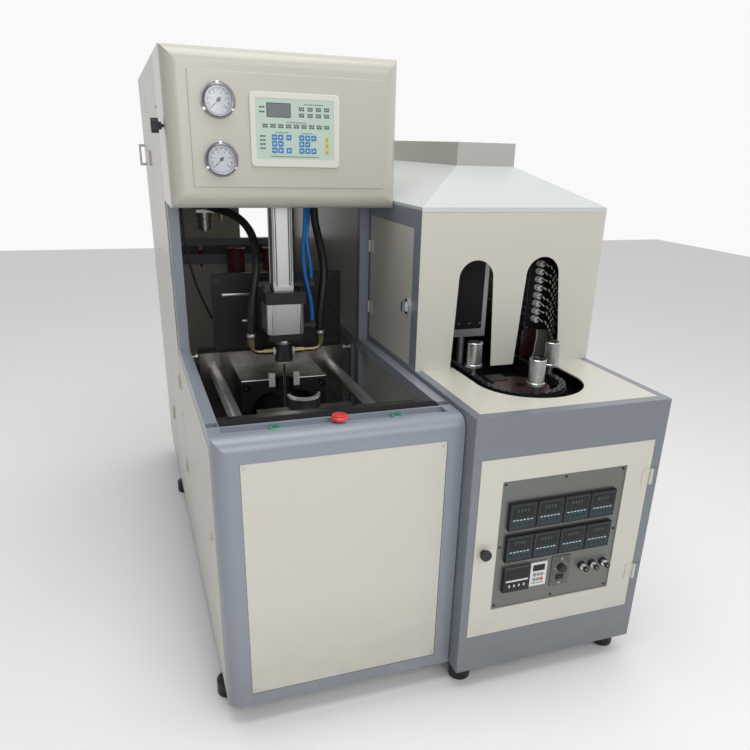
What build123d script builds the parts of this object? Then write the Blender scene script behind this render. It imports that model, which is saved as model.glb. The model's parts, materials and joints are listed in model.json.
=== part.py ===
from build123d import *
import math
import os

os.makedirs("parts", exist_ok=True)

# Blow moulder housing: overall sizes
blower_width = 600
blower_depth = 1860
head_height = 372
head_clearance = 237
ground_clearance = 60
table_height = 790
tube = 30
tube_wall = 2.5
sheet = 2

# Preheater housing: overall sizes
heater_width = 560
heater_depth = 1450
heater_step = 51
heater_table_height = 801
heater_box_rise = 429
hood_rise = 104
vent_rise = 62
heater_box_height = heater_table_height + heater_box_rise
hood_height = heater_box_height + hood_rise
vent_height = hood_height + vent_rise

# Reach of the outermost pieces, which sets where the machine's middle lies
side_knob_reach = 32
selector_reach = 24

overall_width = side_knob_reach + blower_width + 2 * sheet + heater_width
overall_depth = heater_step + selector_reach + blower_depth + sheet
left = -overall_width / 2 + side_knob_reach
right = left + blower_width
front = -overall_depth / 2 + heater_step + selector_reach
rear = front + blower_depth
centre = left + blower_width / 2
heater_left = right + sheet
heater_right = heater_left + heater_width
heater_front = front - heater_step
heater_rear = heater_front + heater_depth
base = ground_clearance

# Fits
running_gap = 0.05
door_gap = 1
seat_gap = 0.3

# Stations of the blow moulder's frame along its depth
surround_depth = 90
head_front = front + 523
head_roll = 45
head_post = front + 757
platen_post = front + 835
clamp_post = front + 1300
rear_post = rear - tube

# Mould clamp
blow_line = front + 665
tie_bar_radius = 18
tie_bar_offset = 191
tie_bar_low = 330
tie_bar_high = 690
platen_thickness = 40
platen_margin_above = 64
platen_margin_below = 60
platen_top = tie_bar_high + platen_margin_above
platen_bottom = tie_bar_low - platen_margin_below
rear_platen_face = front + 830
rear_platen_half = 238
mould_half_width = 133
mould_bottom = 350
mould_top = 705
mould_depth = 165
mould_open = 255
front_platen_thickness = 36
front_platen_half = 258
neck_radius = 28.5
neck_length = 37
shoulder_length = 78
base_thickness = 35
bottle_radius = 108
neck_bottom = mould_top - neck_length
shoulder_bottom = neck_bottom - shoulder_length
bottle_base = mould_bottom + base_thickness
tie_bar_nut = 17

# Blow station: heights stack up from the mould's top
nozzle_lift = 57
nozzle_length = 58
nozzle_arm_gap = 17
lower_arm_thickness = 20
seal_barrel_length = 90
upper_arm_thickness = 34
stretch_cap = 14
plate_overlap = 42
nozzle_bottom = mould_top + nozzle_lift
nozzle_top = nozzle_bottom + nozzle_length
lower_arm_bottom = nozzle_top + nozzle_arm_gap
lower_arm_top = lower_arm_bottom + lower_arm_thickness
upper_arm_bottom = lower_arm_top + seal_barrel_length
upper_arm_top = upper_arm_bottom + upper_arm_thickness
head_floor = upper_arm_top + head_clearance
roof = head_floor + head_height
station_plate = 12
station_plate_face = rear_platen_face + platen_thickness
station_plate_bottom = platen_top - plate_overlap
station_plate_top = upper_arm_top + stretch_cap
arm_half_width = 58
nozzle_radius = 27
nozzle_rod_radius = 12.5
stretch_rod_radius = 5
stretch_rod_reach = 145
stretch_rod_tip = mould_top - stretch_rod_reach
stretch_down = 165
seal_barrel_half = 55
seal_bore_radius = 45
stretch_barrel_half = 27
stretch_bore_radius = 20
stretch_barrel_bottom = upper_arm_top + stretch_cap
stretch_barrel_top = roof - 110
piston_length = 15


def block(x_span, y_span, z_span, mode=Mode.ADD):
    """Add a box between two X, two Y and two Z places."""
    middle = [(low + high) / 2 for low, high in (x_span, y_span, z_span)]
    size = [high - low for low, high in (x_span, y_span, z_span)]
    with Locations(tuple(middle)):
        return Box(*size, mode=mode)


def square_tube(x_span, y_span, z_span, along):
    """Add a hollow square tube whose open ends lie along one axis."""
    block(x_span, y_span, z_span)
    spans = [x_span, y_span, z_span]
    hollow = [(low + tube_wall, high - tube_wall) for low, high in spans]
    hollow[along] = spans[along]
    block(*hollow, mode=Mode.SUBTRACT)


def rod_z(x, y, z_span, radius, mode=Mode.ADD):
    """Add an upright round bar."""
    with Locations((x, y, (z_span[0] + z_span[1]) / 2)):
        return Cylinder(radius, z_span[1] - z_span[0], mode=mode)


def rod_y(x, y_span, z, radius, mode=Mode.ADD):
    """Add a round bar that runs from front to back."""
    with Locations((x, (y_span[0] + y_span[1]) / 2, z)):
        return Cylinder(radius, y_span[1] - y_span[0], rotation=(90, 0, 0), mode=mode)


def rod_x(x_span, y, z, radius, mode=Mode.ADD):
    """Add a round bar that runs from left to right."""
    with Locations(((x_span[0] + x_span[1]) / 2, y, z)):
        return Cylinder(radius, x_span[1] - x_span[0], rotation=(0, 90, 0), mode=mode)


def keep(builder, name):
    """Label a finished piece and write its file."""
    builder.part.label = name
    export_step(builder.part, f"parts/{name}.step")


# Frame: the welded square tubes, given as posts, side rails and cross rails
side_columns = [(left, left + tube), (right - tube, right)]
inner_span = (left + tube, right - tube)
low_rail = (base, base + tube)
table_rail = (table_height - tube, table_height)
floor_rail = (head_floor + sheet, head_floor + sheet + tube)
roof_rail = (roof - sheet - tube, roof - sheet)
front_post = front + surround_depth
column_top = roof - sheet

with BuildPart() as blower_posts:
    for column in side_columns:
        square_tube(column, (front_post, front_post + tube), (base, table_height), 2)
        square_tube(column, (head_post, head_post + tube), (base, column_top), 2)
        square_tube(column, (platen_post, platen_post + tube), (low_rail[1], table_rail[0]), 2)
        square_tube(column, (clamp_post, clamp_post + tube), (low_rail[1], table_rail[0]), 2)
        square_tube(column, (rear_post, rear), (base, column_top), 2)
keep(blower_posts, "blower_posts")

head_frame_front = head_front + head_roll
with BuildPart() as blower_side_rails:
    for column in side_columns:
        for rail in (low_rail, table_rail):
            square_tube(column, (front_post + tube, head_post), rail, 1)
            square_tube(column, (head_post + tube, rear_post), rail, 1)
        for rail in (floor_rail, roof_rail):
            square_tube(column, (head_frame_front, head_post), rail, 1)
            square_tube(column, (head_post + tube, rear_post), rail, 1)
keep(blower_side_rails, "blower_side_rails")

lower_beam = (table_height + 87, table_height + 129)
upper_beam = (table_height + 166, table_height + 166 + tube)
clamp_axis = (tie_bar_low + tie_bar_high) / 2
clamp_beams = [(clamp_axis - 40 - tube, clamp_axis - 40), (clamp_axis + 40, clamp_axis + 40 + tube)]
with BuildPart() as blower_cross_rails:
    square_tube(inner_span, (front_post, front_post + tube), low_rail, 0)
    square_tube(inner_span, (front_post, front_post + tube), table_rail, 0)
    square_tube(inner_span, (head_post, head_post + tube), low_rail, 0)
    square_tube(inner_span, (platen_post, platen_post + tube), (platen_bottom - tube, platen_bottom), 0)
    for beam in clamp_beams:
        square_tube(inner_span, (clamp_post, clamp_post + tube), beam, 0)
    for beam in (floor_rail, roof_rail):
        square_tube(inner_span, (head_frame_front, head_frame_front + tube), beam, 0)
    for beam in (low_rail, lower_beam, upper_beam, roof_rail):
        square_tube(inner_span, (rear_post, rear), beam, 0)
keep(blower_cross_rails, "blower_cross_rails")

# Front surround: painted sheet with rolled top and left edges, and the button channel
surround_wall = 3
surround_radius = 36
panel_left = left + 58
panel_right = left + 556
panel_bottom = base + 35
panel_top = table_height - 58
flange_width = 14
channel_left = left + 29
channel_right = right - 29
channel_front = front + 44
channel_rear = front + 82
channel_depth = 12
channel_floor = table_height - channel_depth


def rolled_front(x_span, y_span, z_span, radius):
    """Return a block whose left front edge and top front edge are rolled."""
    with BuildPart(mode=Mode.PRIVATE) as rolled:
        block(x_span, y_span, z_span)
        face_edges = rolled.edges().group_by(Axis.Y)[0]
        left_edge = face_edges.filter_by(Axis.Z).sort_by(Axis.X)[0]
        top_edge = face_edges.filter_by(Axis.X).sort_by(Axis.Z)[-1]
        fillet([left_edge, top_edge], radius)
    return rolled.part


surround_back = front + surround_depth
surround_outer = rolled_front((left, right), (front, surround_back), (base, table_height), surround_radius)
surround_inner = rolled_front(
    (left + surround_wall, right - surround_wall),
    (front + surround_wall, surround_back),
    (base, table_height - surround_wall),
    surround_radius - surround_wall,
)
flange_back = front + surround_wall + sheet
button_y = front + 63
stop_y = front + 54
button_offset = 147
button_stem_radius = 8
button_hole_radius = button_stem_radius + 0.5
with BuildPart() as front_surround:
    add(surround_outer)
    add(surround_inner, mode=Mode.SUBTRACT)
    block(
        (panel_left - flange_width, panel_right + flange_width),
        (front + surround_wall, flange_back),
        (panel_bottom - flange_width, panel_top + flange_width),
    )
    block(
        (panel_left + flange_width, panel_right - flange_width),
        (front + surround_wall, flange_back),
        (panel_bottom + flange_width, panel_top - flange_width),
        mode=Mode.SUBTRACT,
    )
    block(
        (panel_left, panel_right),
        (front, front + surround_wall),
        (panel_bottom, panel_top),
        mode=Mode.SUBTRACT,
    )
    block(
        (channel_left - surround_wall, channel_right + surround_wall),
        (channel_front - surround_wall, channel_rear + surround_wall),
        (channel_floor - surround_wall, table_height),
    )
    block(
        (channel_left, channel_right),
        (channel_front, channel_rear),
        (channel_floor, table_height),
        mode=Mode.SUBTRACT,
    )
    for x, y in ((centre - button_offset, button_y), (centre, stop_y), (centre + button_offset, button_y)):
        rod_z(x, y, (channel_floor - surround_wall, channel_floor), button_hole_radius, mode=Mode.SUBTRACT)
keep(front_surround, "front_surround")

with BuildPart() as front_panel:
    block(
        (panel_left + door_gap, panel_right - door_gap),
        (front + surround_wall - sheet, front + surround_wall),
        (panel_bottom + door_gap, panel_top - door_gap),
    )
    face_rim = front_panel.faces().sort_by(Axis.Y)[0].edges()
    fillet(face_rim, 0.8)
keep(front_panel, "front_panel")

# Push buttons: one mushroom stop button and two start buttons
stem_drop = 18
stop_head_radius = 20
stop_head_bottom = table_height + 5.5
stop_head_height = 10
stop_head_top = stop_head_bottom + stop_head_height
stop_head_edge = centre + stop_head_radius
with BuildPart() as emergency_stop:
    rod_z(centre, stop_y, (channel_floor - stem_drop, stop_head_bottom), button_stem_radius)
    with BuildSketch(Plane.XZ.offset(-stop_y)):
        with BuildLine():
            Line((centre, stop_head_bottom), (stop_head_edge, stop_head_bottom))
            Line((stop_head_edge, stop_head_bottom), (stop_head_edge, stop_head_bottom + 5))
            ThreePointArc(
                (stop_head_edge, stop_head_bottom + 5),
                (stop_head_edge - 7, stop_head_top - 0.7),
                (centre + 8, stop_head_top),
            )
            Line((centre + 8, stop_head_top), (centre, stop_head_top))
            Line((centre, stop_head_top), (centre, stop_head_bottom))
        make_face()
    revolve(axis=Axis((centre, stop_y, 0), (0, 0, 1)))
keep(emergency_stop, "emergency_stop")

start_cap_radius = 13
start_cap_bottom = channel_floor + 4
start_cap_height = 6
start_buttons = [
    ("start_button_left", centre - button_offset),
    ("start_button_right", centre + button_offset),
]
for name, x in start_buttons:
    with BuildPart() as start_button:
        rod_z(x, button_y, (channel_floor - stem_drop, start_cap_bottom), button_stem_radius)
        rod_z(x, button_y, (start_cap_bottom, start_cap_bottom + start_cap_height), start_cap_radius)
        rim = start_button.faces().sort_by(Axis.Z)[-1].edges()
        fillet(rim, 1.5)
    keep(start_button, name)

# Side covers: the left doors, and the fixed sheets on the left, right and rear
skin_left = (left - sheet, left)
skin_right = (right, right + sheet)
left_door_front = front + 38
left_door_rear = front + 803
left_door_top = table_height - 28
cover_bottom = base + tube + 2
hinge_radius = 4
hinge_reach = 6.5
hinge_gap = 2.5
left_hinge_y = left_door_rear + hinge_gap
middle_cover_front = left_hinge_y + hinge_gap
rear_door_front = front + 1378
rear_door_rear = rear - sheet
rear_hinge_y = rear_door_front - hinge_gap
middle_cover_rear = rear_hinge_y - hinge_gap
leaf_length = 32
front_leaf_height = 40
rear_leaf_height = 50
left_hinge_heights = (cover_bottom + 291, left_door_top - 88)
rear_hinge_heights = (cover_bottom + 275, roof - 274)
left_latch_z = left_door_top - 252


def knuckle(y, z_middle, height, leaf_span):
    """Add a hinge's knuckle, and the leaf that carries it, on the left side."""
    z_span = (z_middle - height / 2, z_middle + height / 2)
    rod_z(left - hinge_reach, y, z_span, hinge_radius)
    block((left - 2 * sheet, left - sheet), leaf_span, z_span)


with BuildPart() as left_front_door:
    block(skin_left, (left_door_front, left_door_rear), (cover_bottom, left_door_top))
    rim_front = front_post + tube + door_gap
    rim_rear = head_post - door_gap
    rim_depth = 12
    block((left, left + rim_depth), (rim_front, rim_rear), (cover_bottom, left_door_top - 4))
    block(
        (left, left + rim_depth),
        (rim_front + sheet, rim_rear - sheet),
        (cover_bottom + sheet, left_door_top - 4 - sheet),
        mode=Mode.SUBTRACT,
    )
    for z in left_hinge_heights:
        knuckle(left_hinge_y, z, front_leaf_height, (left_hinge_y - leaf_length, left_hinge_y))
    rod_x((left - 8, left - sheet), front + 96, left_latch_z, 10)
    block((left - 14, left - 8), (front + 84, front + 108), (left_latch_z - 3, left_latch_z + 3))
keep(left_front_door, "left_front_door")

with BuildPart() as left_rear_door:
    block(skin_left, (rear_door_front, rear_door_rear), (cover_bottom, roof))
    for z in rear_hinge_heights:
        knuckle(rear_hinge_y, z, rear_leaf_height, (rear_hinge_y, rear_hinge_y + leaf_length))
    handle_y = (rear_door_rear - 24, rear_door_rear - 12)
    handle_z = (roof - 314, roof - 234)
    handle_reach = 24
    block((left - handle_reach, left - sheet), handle_y, handle_z)
    block(
        (left - handle_reach + 8, left - sheet),
        handle_y,
        (handle_z[0] + 10, handle_z[1] - 10),
        mode=Mode.SUBTRACT,
    )
keep(left_rear_door, "left_rear_door")

# Upper box of the preheater: places that its covers share with its frame
box_front = heater_front + 387
box_post_width = 48
box_rail_height = 47
box_post = 30
side_door_rear = front + 745
rear_window_left = left + 367
with BuildPart() as cover_panels:
    block(skin_left, (middle_cover_front, middle_cover_rear), (cover_bottom, roof))
    leaf_x = (left - 2 * sheet, left - sheet)
    leaf_start = hinge_radius + 0.5
    for z in left_hinge_heights:
        leaf_z = (z - front_leaf_height / 2, z + front_leaf_height / 2)
        block(leaf_x, (left_hinge_y + leaf_start, left_hinge_y + leaf_length), leaf_z)
    for z in rear_hinge_heights:
        leaf_z = (z - rear_leaf_height / 2, z + rear_leaf_height / 2)
        block(leaf_x, (rear_hinge_y - leaf_length, rear_hinge_y - leaf_start), leaf_z)
    block(skin_right, (front + 21, left_door_rear), (cover_bottom, left_door_top))
    block(skin_right, (middle_cover_front, rear), (cover_bottom, roof))
    block((left, right), (rear, rear + sheet), (cover_bottom, lower_beam[0] + 20))
    block((left, rear_window_left), (rear, rear + sheet), (upper_beam[0] + 10, roof))
    block(
        (heater_right, heater_right + sheet),
        (box_front + sheet, heater_rear),
        (heater_table_height + 1, heater_box_height),
    )
    block(
        (heater_left, heater_right),
        (heater_rear, heater_rear + sheet),
        (heater_table_height + 1, heater_box_height),
    )
keep(cover_panels, "cover_panels")

# Drip tray: the floor pan below the mould
tray_height = tube - 2
with BuildPart() as drip_tray:
    block(inner_span, (front_post + tube, head_post), (base + 2, base + 2 + tray_height))
    block(
        (inner_span[0] + sheet, inner_span[1] - sheet),
        (front_post + tube + sheet, head_post - sheet),
        (base + 2 + sheet, base + 2 + tray_height),
        mode=Mode.SUBTRACT,
    )
keep(drip_tray, "drip_tray")

# Head: the pillow-shaped front and the housing behind it
head_roll_radius = 38
plateau_step = 2.5
plateau_left = left + 56
plateau_right = left + 559
plateau_margin = 53
plateau_bottom = head_floor + plateau_margin
plateau_top = roof - plateau_margin
plateau_middle = (plateau_bottom + plateau_top) / 2
skin_span = (left - sheet, right + sheet)


def rolled_block(x_span, y_span, z_span, axis, radius):
    """Return a block whose two front edges along an axis are rolled."""
    with BuildPart(mode=Mode.PRIVATE) as rolled:
        block(x_span, y_span, z_span)
        fillet(rolled.edges().group_by(Axis.Y)[0].filter_by(axis), radius)
    return rolled.part


def pillow(x_span, y_span, z_span, radius):
    """Return a block with four rolled front edges that meet in mitres."""
    spans = (x_span, y_span, z_span)
    return rolled_block(*spans, Axis.X, radius) & rolled_block(*spans, Axis.Z, radius)


pillow_front = head_front + plateau_step
pillow_outer = pillow(skin_span, (pillow_front, head_frame_front), (head_floor, roof), head_roll_radius)
pillow_inner = pillow(
    (skin_span[0] + sheet, skin_span[1] - sheet),
    (pillow_front + sheet, head_frame_front),
    (head_floor + sheet, roof - sheet),
    head_roll_radius - sheet,
)
with BuildPart() as head_cover:
    block((plateau_left, plateau_right), (head_front, pillow_front + sheet), (plateau_bottom, plateau_top))
    plateau_rim = head_cover.faces().sort_by(Axis.Y)[0].edges()
    fillet(plateau_rim, 2)
    add(pillow_outer)
    add(pillow_inner, mode=Mode.SUBTRACT)
keep(head_cover, "head_cover")

knob_y = front + 580
knob_z = plateau_middle + 7
knob_stud_radius = 4
with BuildPart() as head_shell:
    head_side_rear = front + 803
    for skin in (skin_left, skin_right):
        block(skin, (head_frame_front, head_side_rear), (head_floor, roof))
    block((left, right), (head_frame_front, rear), (roof - sheet, roof))
    rod_x((left - sheet, left), knob_y, knob_z, knob_stud_radius + running_gap, mode=Mode.SUBTRACT)
    block((left, right), (head_frame_front, rear_post), (head_floor, head_floor + sheet))
    for column in side_columns:
        block(column, (head_post, head_post + tube), (head_floor, head_floor + sheet), mode=Mode.SUBTRACT)
    opening_half = stretch_barrel_half + 1
    block(
        (centre - opening_half, centre + opening_half),
        (blow_line - opening_half, blow_line + opening_half),
        (head_floor, head_floor + sheet),
        mode=Mode.SUBTRACT,
    )
keep(head_shell, "head_shell")

lobe_count = 5
with BuildPart() as side_knob:
    rod_x((left - 14, left + 6), knob_y, knob_z, knob_stud_radius)
    rod_x((left - 14, left - 7), knob_y, knob_z, 9)
    with BuildSketch(Plane.YZ.offset(left - side_knob_reach)):
        with Locations((knob_y, knob_z)):
            Circle(15)
            with PolarLocations(13, lobe_count):
                Circle(5)
    extrude(amount=side_knob_reach - 14)
    fillet(side_knob.faces().sort_by(Axis.X)[0].edges(), 1.5)
keep(side_knob, "side_knob")

# Pressure gauges: flanged cases with their dials, and one needle each
gauge_x = left + 127
gauge_heights = [("gauge_needle_upper", plateau_middle + 68), ("gauge_needle_lower", plateau_middle - 66)]
gauge_flange_radius = 42.5
gauge_rim_radius = 36
gauge_dial_radius = 32
gauge_rim_reach = 14
dial_depth = 9
pivot_radius = 1.2
with BuildPart() as gauge_cases:
    for _, z in gauge_heights:
        rod_y(gauge_x, (head_front - 3, head_front), z, gauge_flange_radius)
        rod_y(gauge_x, (head_front - gauge_rim_reach, head_front - 3), z, gauge_rim_radius)
    fillet(gauge_cases.faces().filter_by(Axis.Y).group_by(Axis.Y)[0].edges(), 2)
    for _, z in gauge_heights:
        rod_y(
            gauge_x,
            (head_front - gauge_rim_reach, head_front - dial_depth),
            z,
            gauge_dial_radius,
            mode=Mode.SUBTRACT,
        )
        rod_y(gauge_x, (head_front - dial_depth - 3.5, head_front - dial_depth), z, pivot_radius)
        with BuildSketch(Plane.XZ.offset(-(head_front - 3))):
            with Locations((gauge_x, z)):
                with PolarLocations(gauge_rim_radius + 2.2, 3, start_angle=90):
                    Circle(2.6)
        extrude(amount=1.5)
keep(gauge_cases, "gauge_cases")

needle_face = head_front - dial_depth - seat_gap
needle_length = 26
for name, z in gauge_heights:
    with BuildPart() as needle:
        with BuildSketch(Plane.XZ.offset(-needle_face)):
            with Locations((gauge_x, z)):
                with Locations(Rotation(0, 0, 135)):
                    with Locations((0, (needle_length - 8) / 2)):
                        Trapezoid(2.6, needle_length + 8, 88.5)
                Circle(4)
                Circle(pivot_radius + running_gap, mode=Mode.SUBTRACT)
        extrude(amount=1)
    keep(needle, name)

# Control panel: bezel with the membrane's shallow field
bezel_left = left + 202
bezel_right = left + 434
bezel_height = 174
bezel_bottom = plateau_middle - 82
bezel_top = bezel_bottom + bezel_height
film_left = left + 216
film_right = left + 419
film_bottom = bezel_bottom + 19
film_top = bezel_top - 14
bezel_thickness = 5
with BuildPart() as control_panel:
    with BuildSketch(Plane.XZ.offset(-head_front)):
        with Locations(((bezel_left + bezel_right) / 2, (bezel_bottom + bezel_top) / 2)):
            RectangleRounded(bezel_right - bezel_left, bezel_top - bezel_bottom, 12)
    extrude(amount=bezel_thickness)
    fillet(control_panel.faces().sort_by(Axis.Y)[0].edges(), 2)
    block(
        (film_left, film_right),
        (head_front - bezel_thickness, head_front - bezel_thickness + 1),
        (film_bottom, film_top),
        mode=Mode.SUBTRACT,
    )
keep(control_panel, "control_panel")

# Mould halves: blocks with half of the bottle's cavity in each
insert_width = 19
insert_offset = neck_radius + 0.5
insert_depth = 20
insert_bottom = mould_top - 25
insert_top = mould_top + 17
mould_bolt_offset = 119
mould_bolt_height = mould_top - 24
mould_bolt_radius = 12


def bottle_cavity(parting_y):
    """Cut the bottle's shape, turned about the blow axis, out of the part."""
    with BuildSketch(Plane.XZ.offset(-parting_y)) as half_profile:
        with BuildLine():
            Line((centre, mould_top), (centre + neck_radius, mould_top))
            Line((centre + neck_radius, mould_top), (centre + neck_radius, neck_bottom))
            ThreePointArc(
                (centre + neck_radius, neck_bottom),
                (centre + 0.78 * bottle_radius, neck_bottom - 0.3 * (neck_bottom - shoulder_bottom)),
                (centre + bottle_radius, shoulder_bottom),
            )
            Line((centre + bottle_radius, shoulder_bottom), (centre + bottle_radius, bottle_base))
            Line((centre + bottle_radius, bottle_base), (centre, bottle_base))
            Line((centre, bottle_base), (centre, mould_top))
        make_face()
    revolve(half_profile.sketch, axis=Axis((centre, parting_y, 0), (0, 0, 1)), mode=Mode.SUBTRACT)


mould_span = (centre - mould_half_width, centre + mould_half_width)
insert_spans = [
    (centre - insert_offset - insert_width, centre - insert_offset),
    (centre + insert_offset, centre + insert_offset + insert_width),
]
with BuildPart() as rear_mould_half:
    block(mould_span, (blow_line, rear_platen_face), (mould_bottom, mould_top))
    chamfer(rear_mould_half.edges().filter_by(Axis.X).group_by(Axis.Z)[-1].sort_by(Axis.Y)[0], 2)
    bottle_cavity(blow_line)
    for span in insert_spans:
        block(span, (blow_line, blow_line + insert_depth), (insert_bottom, mould_top), mode=Mode.SUBTRACT)
    for side in (-1, 1):
        x = centre + side * mould_bolt_offset
        rod_y(x, (blow_line, blow_line + 14), mould_bolt_height, mould_bolt_radius, mode=Mode.SUBTRACT)
        rod_y(x, (blow_line + 5, blow_line + 14), mould_bolt_height, 8)
        rod_y(x, (blow_line + 5, blow_line + 10), mould_bolt_height, 4, mode=Mode.SUBTRACT)
keep(rear_mould_half, "rear_mould_half")

with BuildPart() as neck_inserts:
    for span in insert_spans:
        block(span, (blow_line, blow_line + insert_depth), (insert_bottom, insert_top))
    chamfer(neck_inserts.faces().group_by(Axis.Z)[-1].edges(), 1)
keep(neck_inserts, "neck_inserts")

front_parting = blow_line - mould_open
front_mould_back = front_parting - mould_depth
with BuildPart() as front_mould_half:
    block(mould_span, (front_mould_back, front_parting), (mould_bottom, mould_top))
    chamfer(front_mould_half.edges().filter_by(Axis.X).group_by(Axis.Z)[-1].sort_by(Axis.Y)[-1], 2)
    bottle_cavity(front_parting)
keep(front_mould_half, "front_mould_half")

ring_outer = 46
ring_inner = 30
ring_height = 36
ring_step = 7
ring_step_radius = 38
ring_top = mould_top + ring_height
with BuildPart() as neck_ring:
    rod_z(centre, front_parting, (mould_top, ring_top), ring_outer)
    rod_z(centre, front_parting, (mould_top, ring_top), ring_inner, mode=Mode.SUBTRACT)
    rod_z(centre, front_parting, (ring_top - ring_step, ring_top), ring_step_radius, mode=Mode.SUBTRACT)
    with Locations((centre, front_parting, ring_top)):
        with PolarLocations(ring_outer - 4, 10, start_angle=18):
            Cylinder(3.4, 16, mode=Mode.SUBTRACT)
    block(
        (centre - ring_outer - 1, centre + ring_outer + 1),
        (front_parting, front_parting + ring_outer + 1),
        (mould_top - 1, ring_top + 1),
        mode=Mode.SUBTRACT,
    )
keep(neck_ring, "neck_ring")

# Platens, tie bars and crosshead
tie_bar_places = [
    (centre + side * tie_bar_offset, z) for side in (-1, 1) for z in (tie_bar_low, tie_bar_high)
]
tie_hole_radius = tie_bar_radius + running_gap


def platen(half_width, y_span, z_span):
    """Add a steel plate with a hole for each tie bar."""
    block((centre - half_width, centre + half_width), y_span, z_span)
    for x, z in tie_bar_places:
        rod_y(x, y_span, z, tie_hole_radius, mode=Mode.SUBTRACT)


rear_platen_back = rear_platen_face + platen_thickness
with BuildPart() as rear_platen:
    platen(rear_platen_half, (rear_platen_face, rear_platen_back), (platen_bottom, platen_top))
keep(rear_platen, "rear_platen")

front_platen_front = front_mould_back - front_platen_thickness
with BuildPart() as front_platen:
    platen(front_platen_half, (front_platen_front, front_mould_back), (platen_bottom, platen_top))
keep(front_platen, "front_platen")

crosshead_front = front + 960
crosshead_thickness = 30
crosshead_back = crosshead_front + crosshead_thickness
clamp_rod_radius = 15
clamp_barrel_front = clamp_post + tube
clamp_flange = 20
clamp_barrel_length = 350
clamp_barrel_radius = 62
clamp_bore_radius = 50
clamp_barrel_rear = clamp_barrel_front + clamp_flange + clamp_barrel_length
clamp_piston_front = clamp_barrel_front + clamp_flange + 25
clamp_piston_back = clamp_piston_front + piston_length
with BuildPart() as crosshead:
    platen(rear_platen_half - 10, (crosshead_front, crosshead_back), (platen_bottom + 10, tie_bar_high + 40))
    rod_y(centre, (crosshead_back, clamp_piston_back), clamp_axis, clamp_rod_radius)
    rod_y(centre, (crosshead_back, crosshead_back + 25), clamp_axis, 28)
    rod_y(centre, (clamp_piston_front, clamp_piston_back), clamp_axis, clamp_bore_radius - running_gap)
keep(crosshead, "crosshead")

with BuildPart() as tie_bars:
    for x, z in tie_bar_places:
        rod_y(x, (front_platen_front - tie_bar_nut, crosshead_back + tie_bar_nut), z, tie_bar_radius)
        for y in (front_platen_front - tie_bar_nut, crosshead_back):
            with BuildSketch(Plane.XZ.offset(-y)):
                with Locations((x, z)):
                    RegularPolygon(26, 6)
            extrude(amount=-tie_bar_nut)
keep(tie_bars, "tie_bars")

with BuildPart() as clamp_cylinder:
    half = clamp_barrel_radius + 8
    block(
        (centre - half, centre + half),
        (clamp_barrel_front, clamp_barrel_front + clamp_flange),
        (clamp_axis - half, clamp_axis + half),
    )
    rod_y(
        centre,
        (clamp_barrel_front + clamp_flange, clamp_barrel_rear),
        clamp_axis,
        clamp_barrel_radius,
    )
    block(
        (centre - half, centre + half),
        (clamp_barrel_rear, clamp_barrel_rear + clamp_flange),
        (clamp_axis - half, clamp_axis + half),
    )
    rod_y(
        centre,
        (clamp_barrel_front + clamp_flange, clamp_barrel_rear),
        clamp_axis,
        clamp_bore_radius,
        mode=Mode.SUBTRACT,
    )
    rod_y(
        centre,
        (clamp_barrel_front, clamp_barrel_front + clamp_flange),
        clamp_axis,
        clamp_rod_radius + running_gap,
        mode=Mode.SUBTRACT,
    )
keep(clamp_cylinder, "clamp_cylinder")

# Blow station: carrier plate with its two arms, cylinders, nozzle and stretch rod
arm_front = blow_line - 60
plate_left = left + 119
plate_right = left + 540
slot_height = 8
slot_bottom = station_plate_top - 70
with BuildPart() as blow_station_frame:
    block(
        (plate_left, plate_right),
        (station_plate_face, station_plate_face + station_plate),
        (station_plate_bottom, station_plate_top),
    )
    arm_span = (centre - arm_half_width, centre + arm_half_width)
    block(arm_span, (arm_front, station_plate_face), (upper_arm_bottom, upper_arm_top))
    block(
        (centre - seal_barrel_half + 4, centre + seal_barrel_half - 4),
        (arm_front + 8, station_plate_face),
        (lower_arm_bottom, lower_arm_top),
    )
    for side in (-1, 1):
        x = centre + side * (arm_half_width - 10)
        block(
            (min(x, x + side * 10), max(x, x + side * 10)),
            (blow_line + 72, station_plate_face),
            (lower_arm_bottom, upper_arm_bottom),
        )
    block(
        (left + 150, left + 243),
        (station_plate_face, station_plate_face + station_plate),
        (slot_bottom, slot_bottom + slot_height),
        mode=Mode.SUBTRACT,
    )
    for span, radius in (
        ((upper_arm_bottom, upper_arm_top), stretch_rod_radius),
        ((lower_arm_bottom, lower_arm_top), nozzle_rod_radius),
    ):
        rod_z(centre, blow_line, span, radius + running_gap, mode=Mode.SUBTRACT)
keep(blow_station_frame, "blow_station_frame")

front_tube_offset = 91
rear_tube_offset = 93
front_tube_x = centre + front_tube_offset
rear_tube_x = centre + rear_tube_offset
elbow_radius = 8
elbow_height = 16
seal_port_height = lower_arm_top + elbow_radius + 3
stretch_port_height = upper_arm_top + elbow_radius + 1
stretch_port_y = blow_line + 15
with BuildPart() as seal_cylinder:
    with BuildSketch(Plane.XY.offset(lower_arm_top)):
        with Locations((centre, blow_line)):
            RectangleRounded(2 * seal_barrel_half, 2 * seal_barrel_half, 16)
            Circle(seal_bore_radius, mode=Mode.SUBTRACT)
            for turn in (0, 90, 180, 270):
                with Locations(Rotation(0, 0, turn)):
                    with Locations((33, seal_barrel_half), (-33, seal_barrel_half)):
                        Rectangle(4, 6, mode=Mode.SUBTRACT)
    extrude(amount=upper_arm_bottom - lower_arm_top)
    barrel_face = centre + seal_barrel_half
    rod_x((barrel_face, front_tube_x + elbow_radius), blow_line, seal_port_height, elbow_radius)
    rod_z(front_tube_x, blow_line, (seal_port_height, seal_port_height + elbow_height), elbow_radius)
keep(seal_cylinder, "seal_cylinder")

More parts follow.
